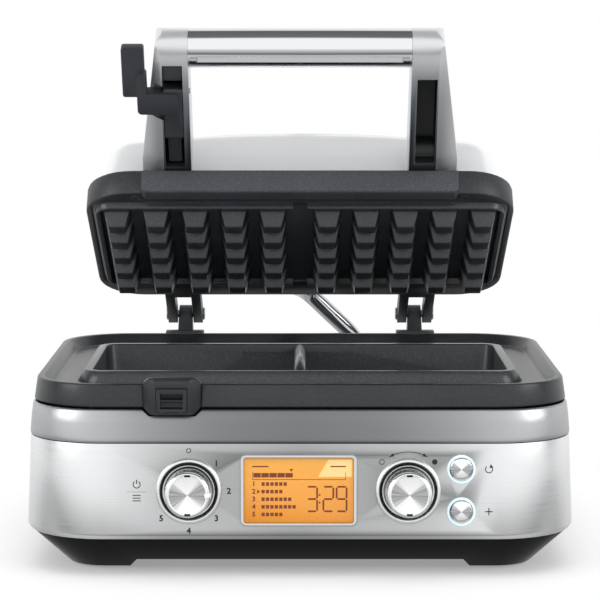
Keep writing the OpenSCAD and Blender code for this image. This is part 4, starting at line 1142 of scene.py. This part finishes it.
@dataclass
class Lid:
    """Frame, steel cover, fascia, arms, tube, latch and hinges."""

    palette: Palette
    # distances of the channel's two walls from the machine's middle, in millimetres
    channel: Spot = (64.3, 75.7)
    # how far the channel's painted shade reaches along the arm and in from its front face, in millimetres
    shade_along: Spot = (-1.0, 69.0)
    shade_in: Spot = (0.7, 19.0)

    def build(self) -> None:
        """Refines every piece of the lid and its hinges."""
        p = self.palette
        rows = (
            ("lid_frame", "frame_casting", p.frame_coat, "frame_coat", 0.3),
            ("lid_cover", "steel_cover", p.cover_steel, "satin_steel", 0.0),
            ("fascia_bar", "fascia", p.fascia_coat, "frame_coat", 0.5),
            ("left_arm", "arm_left", p.arm_silver, "cast_arm", 0.6),
            ("right_arm", "arm_right", p.arm_silver, "cast_arm", 0.6),
            ("handle_tube", "grip_tube", p.mirror_steel, "bright_steel", 0.2),
            ("handle_clips", "tube_clips", p.bezel_plate, "bright_steel", 0.4),
            ("latch_lever", "latch", p.latch_plastic, "pan_plastic", 0.8),
            ("latch_stop", "latch_block", p.latch_plastic, "pan_plastic", 0.4),
            ("left_hinge_ears", "ears_left", p.hinge_coat, "frame_coat", 0.5),
            ("right_hinge_ears", "ears_right", p.hinge_coat, "frame_coat", 0.5),
            ("left_hinge_bracket", "bracket_left", p.hinge_coat, "frame_coat", 0.5),
            ("right_hinge_bracket", "bracket_right", p.hinge_coat, "frame_coat", 0.5),
            ("hinge_pins", "pins", p.zinc_plate, "bright_steel", 0.3),
            ("conduit_lid_fitting", "lid_gland", p.pan_plastic, "pan_plastic", 0.3),
            ("conduit_base_fitting", "base_gland", p.pan_plastic, "pan_plastic", 0.3),
            ("lid_screws", "underside_screws", p.case_black, "plated_steel", 0.1),
        )
        for piece in Bench.outfit("lid", rows):
            if piece.name.startswith("arm_"):
                self.shade_channel(piece)
        for node, finish in (
            ("upper_heater", p.heater_steel),
            ("upper_thermostat", p.zinc_plate),
            ("latch_pin", p.zinc_plate),
        ):
            Bench.paint(frame["nodes"][node], finish)

    def shade_channel(self, piece: Piece) -> None:
        """Paints the inside of an arm's channel dark: painted shade in the recess.

        Args:
            piece: an arm, drawn in the part open lid's place.
        """
        piece.data.materials.append(self.palette.channel_shade.build())
        root, along = Vector(self.palette.arm_silver.root), Vector(self.palette.arm_silver.along)
        inward = Vector((along[1], -along[0]))
        for face in piece.data.polygons:
            centre = face.center / MM
            spot = Vector((centre.y, centre.z)) - root
            inside = self.channel[0] < abs(centre.x) < self.channel[1]
            reached = self.shade_along[0] < spot.dot(along) < self.shade_along[1]
            if inside and reached and self.shade_in[0] < spot.dot(inward) < self.shade_in[1]:
                face.material_index = 1


# ---------------------------------------------------------------- conduit


@dataclass
class Conduit:
    """Smooth steel-sheathed conduit between the base and the lid."""

    palette: Palette
    pivot: Spot = (132.0, 115.0)
    radius: float = 5.4
    sides: int = 28
    # rings between two points of the route
    steps: int = 12
    route: tuple[Point, ...] = (
        (-8, -43.48, 27.51), (-8, -40.5, 25.86), (-8, -37, 23.92), (-4, -25, 20.6), (1, -12, 17.2),
        (7, -4, 12.3), (19.4, 0, 0.2), (32, 1, -12.2), (41, 1.2, -25), (47, 0.8, -38), (49, -3.75, -52.47),
        (49, -9.75, -52.82), (49, -18.7, -53.35),
    )

    def path(self) -> list[Vector]:
        """The route as a smooth line through its points, in metres."""
        points = [Vector((x, y + self.pivot[0], z + self.pivot[1])) * MM for x, y, z in self.route]
        last = len(points) - 1
        fine = []
        for i in range(last):
            a, b = points[max(i - 1, 0)], points[i]
            c, d = points[i + 1], points[min(i + 2, last)]
            square, cube = 2 * a - 5 * b + 4 * c - d, 3 * b - a - 3 * c + d
            for s in range(self.steps):
                u = s / self.steps
                fine.append(0.5 * ((2 * b) + (c - a) * u + square * u * u + cube * u**3))
        fine.append(points[last])
        return fine

    def build(self) -> None:
        """Sweeps the tube between the base and the lid."""
        line = self.path()
        verts: list[Vector] = []
        for i, point in enumerate(line):
            ahead = (line[min(i + 1, len(line) - 1)] - line[max(i - 1, 0)]).normalized()
            side = ahead.cross(Vector((1, 0, 0))).normalized()
            up = side.cross(ahead)
            for k in range(self.sides):
                a = 2 * math.pi * k / self.sides
                verts.append(point + self.radius * MM * (math.cos(a) * up + math.sin(a) * side))
        faces = []
        n = self.sides
        for i in range(len(line) - 1):
            for k in range(n):
                j = (k + 1) % n
                faces.append((i * n + k, i * n + j, (i + 1) * n + j, (i + 1) * n + k))
        faces.append(tuple(range(n - 1, -1, -1)))
        faces.append(tuple((len(line) - 1) * n + k for k in range(n)))
        mesh = bpy.data.meshes.new("steel_conduit")
        mesh.from_pydata(verts, [], faces)
        piece = bpy.data.objects.new("steel_conduit", mesh)
        bpy.context.scene.collection.objects.link(piece)
        Bench.pick(piece)
        bpy.ops.object.mode_set(mode="EDIT")
        bpy.ops.mesh.select_all(action="SELECT")
        bpy.ops.mesh.normals_make_consistent(inside=False)
        bpy.ops.object.mode_set(mode="OBJECT")
        Bench.smooth(piece, 50)
        Bench.dress(piece, self.palette.conduit_steel, "heater_sheath")
        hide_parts("flex_conduit")
        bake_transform(piece)
        LOG.info("conduit: %d rings", len(line))


# ---------------------------------------------------------------- studio


@dataclass
class Studio:
    """Pale floor, soft lights and the camera."""

    lens: float = 144.0
    eye: Point = (0.0, -1.4035, 0.296)
    pitch: float = 6.4
    # half sizes of what stands on the floor, and how far beyond them the floor melts away, in metres
    footprint: Point = (0.13, 0.1, 0.0)
    melt: float = 0.09
    # brightness of the surroundings by elevation in degrees: 0 straight ahead of the machine's front,
    # 90 overhead, 180 behind it
    levels: tuple[Spot, ...] = (
        (-180, 0.95), (-130, 0.4), (-90, 0.55), (-48, 0.6), (-38, 0.12), (-30, 0.32), (-12, 0.7), (-6, 1.0),
        (54, 1.0), (64, 0.16), (112, 0.12), (124, 0.85), (180, 1.0),
    )

    def build(self) -> None:
        """Sets up the view, floor, sky and lights."""
        self.camera()
        self.floor()
        self.sky()
        self.lamps()
        bpy.context.scene.view_settings.view_transform = "Standard"

    def camera(self) -> None:
        """The camera, a long lens a little above the object."""
        data = bpy.data.cameras.new("camera")
        data.lens = self.lens
        data.sensor_width = 36.0
        data.clip_start = 0.05
        eye = bpy.data.objects.new("camera", data)
        eye.location = self.eye
        eye.rotation_euler = (math.radians(90 - self.pitch), 0, 0)
        bpy.context.scene.collection.objects.link(eye)
        bpy.context.scene.camera = eye

    def floor(self) -> None:
        """A wide pale floor that takes the object's shadow and melts into the white backdrop further out."""
        Bench.clear()
        bpy.ops.mesh.primitive_plane_add(size=30, location=(0, 0, 0))
        floor = bpy.context.object
        floor.name = "floor"
        material = bpy.data.materials.new("pale_floor")
        material.use_nodes = True
        tree = material.node_tree
        shader = tree.nodes["Principled BSDF"]
        wire(tree, shader, {"Base Color": (0.8, 0.8, 0.8, 1), "Roughness": 0.7})
        place = add_node(tree, "TexCoord").outputs["Object"]
        # distance outside the footprint
        folded = add_node(tree, "VectorMath", {"operation": "ABSOLUTE"}, {0: place})
        past = add_node(tree, "VectorMath", {"operation": "SUBTRACT"}, {0: folded, 1: self.footprint})
        outside = add_node(tree, "VectorMath", {"operation": "MAXIMUM"}, {0: past, 1: (0.0, 0.0, 0.0)})
        reach = add_node(tree, "VectorMath", {"operation": "LENGTH"}, {0: outside})
        far = add_node(tree, "MapRange", SMOOTH, {"Value": reach, "From Max": self.melt, "To Min": 0.3})
        # only the eye sees the floor melt; what it throws back up stays that of a plain floor
        eye = add_node(tree, "LightPath")
        share = add_node(tree, "Math", {"operation": "MULTIPLY"}, {0: far, 1: eye.outputs["Is Camera Ray"]})
        white = add_node(tree, "Emission", inputs={"Color": (1, 1, 1, 1), "Strength": 1.0})
        mix = add_node(tree, "MixShader", inputs={0: share, 1: shader, 2: white})
        wire(tree, tree.nodes["Material Output"], {"Surface": mix})
        floor.data.materials.append(material)
        floor.visible_glossy = False

    def sky(self) -> None:
        """White to the eye; for reflections, a bright front, a dark ceiling and a greyer floor."""
        world = bpy.data.worlds.new("studio")
        bpy.context.scene.world = world
        world.use_nodes = True
        tree = world.node_tree
        tree.nodes.clear()
        way = add_node(tree, "TexCoord").outputs["Generated"]
        parts = add_node(tree, "SeparateXYZ", inputs={"Vector": way})
        front = add_node(tree, "Math", {"operation": "MULTIPLY"}, {0: parts.outputs["Y"], 1: -1.0})
        rise = add_node(tree, "Math", {"operation": "ARCTAN2"}, {0: parts.outputs["Z"], 1: front})
        turn = add_node(tree, "MapRange", inputs={"Value": rise, "From Min": -math.pi, "From Max": math.pi})
        ramp = add_node(tree, "ValToRGB", inputs={"Fac": turn})
        set_ramp(ramp, [((e + 180) / 360, (v, v, v, 1.0)) for e, v in self.levels])
        dim = add_node(tree, "Background", inputs={"Color": ramp, "Strength": 1.05})
        white = add_node(tree, "Background", inputs={"Color": (1, 1, 1, 1), "Strength": 1.0})
        seen = add_node(tree, "LightPath")
        shiny = add_node(tree, "MixShader", inputs={0: seen.outputs["Is Glossy Ray"], 1: white, 2: dim})
        add_node(tree, "OutputWorld", inputs={"Surface": shiny})

    def lamps(self) -> None:
        """Soft lamps: a broad one overhead and one from each side."""
        for name, place, size, power, glossy in (
            ("overhead", (0.0, -0.2, 1.5), 1.4, 9.0, False),
            ("left", (-1.3, -0.7, 0.8), 0.7, 5.0, True),
            ("right", (1.3, -0.7, 0.8), 0.7, 5.0, True),
        ):
            data = bpy.data.lights.new(name, "AREA")
            data.shape = "SQUARE"
            data.size = size
            data.energy = power
            lamp = bpy.data.objects.new(name, data)
            lamp.location = place
            aim = Vector((0, 0, 0.12)) - Vector(place)
            lamp.rotation_euler = aim.to_track_quat("-Z", "Y").to_euler()
            lamp.visible_glossy = glossy
            bpy.context.scene.collection.objects.link(lamp)


# ---------------------------------------------------------------- main


def main() -> None:
    """Builds the studio and every sub-assembly."""
    logging.basicConfig(level=logging.INFO, format="%(name)s %(message)s")
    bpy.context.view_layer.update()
    palette = Palette()
    panel = Panel()
    Studio().build()
    Conduit(palette).build()
    Housing(palette).build()
    Cooking(palette).build()
    Display(palette, panel).build()
    Controls(palette, panel).build()
    Lid(palette).build()


if __name__ == "__main__":
    main()
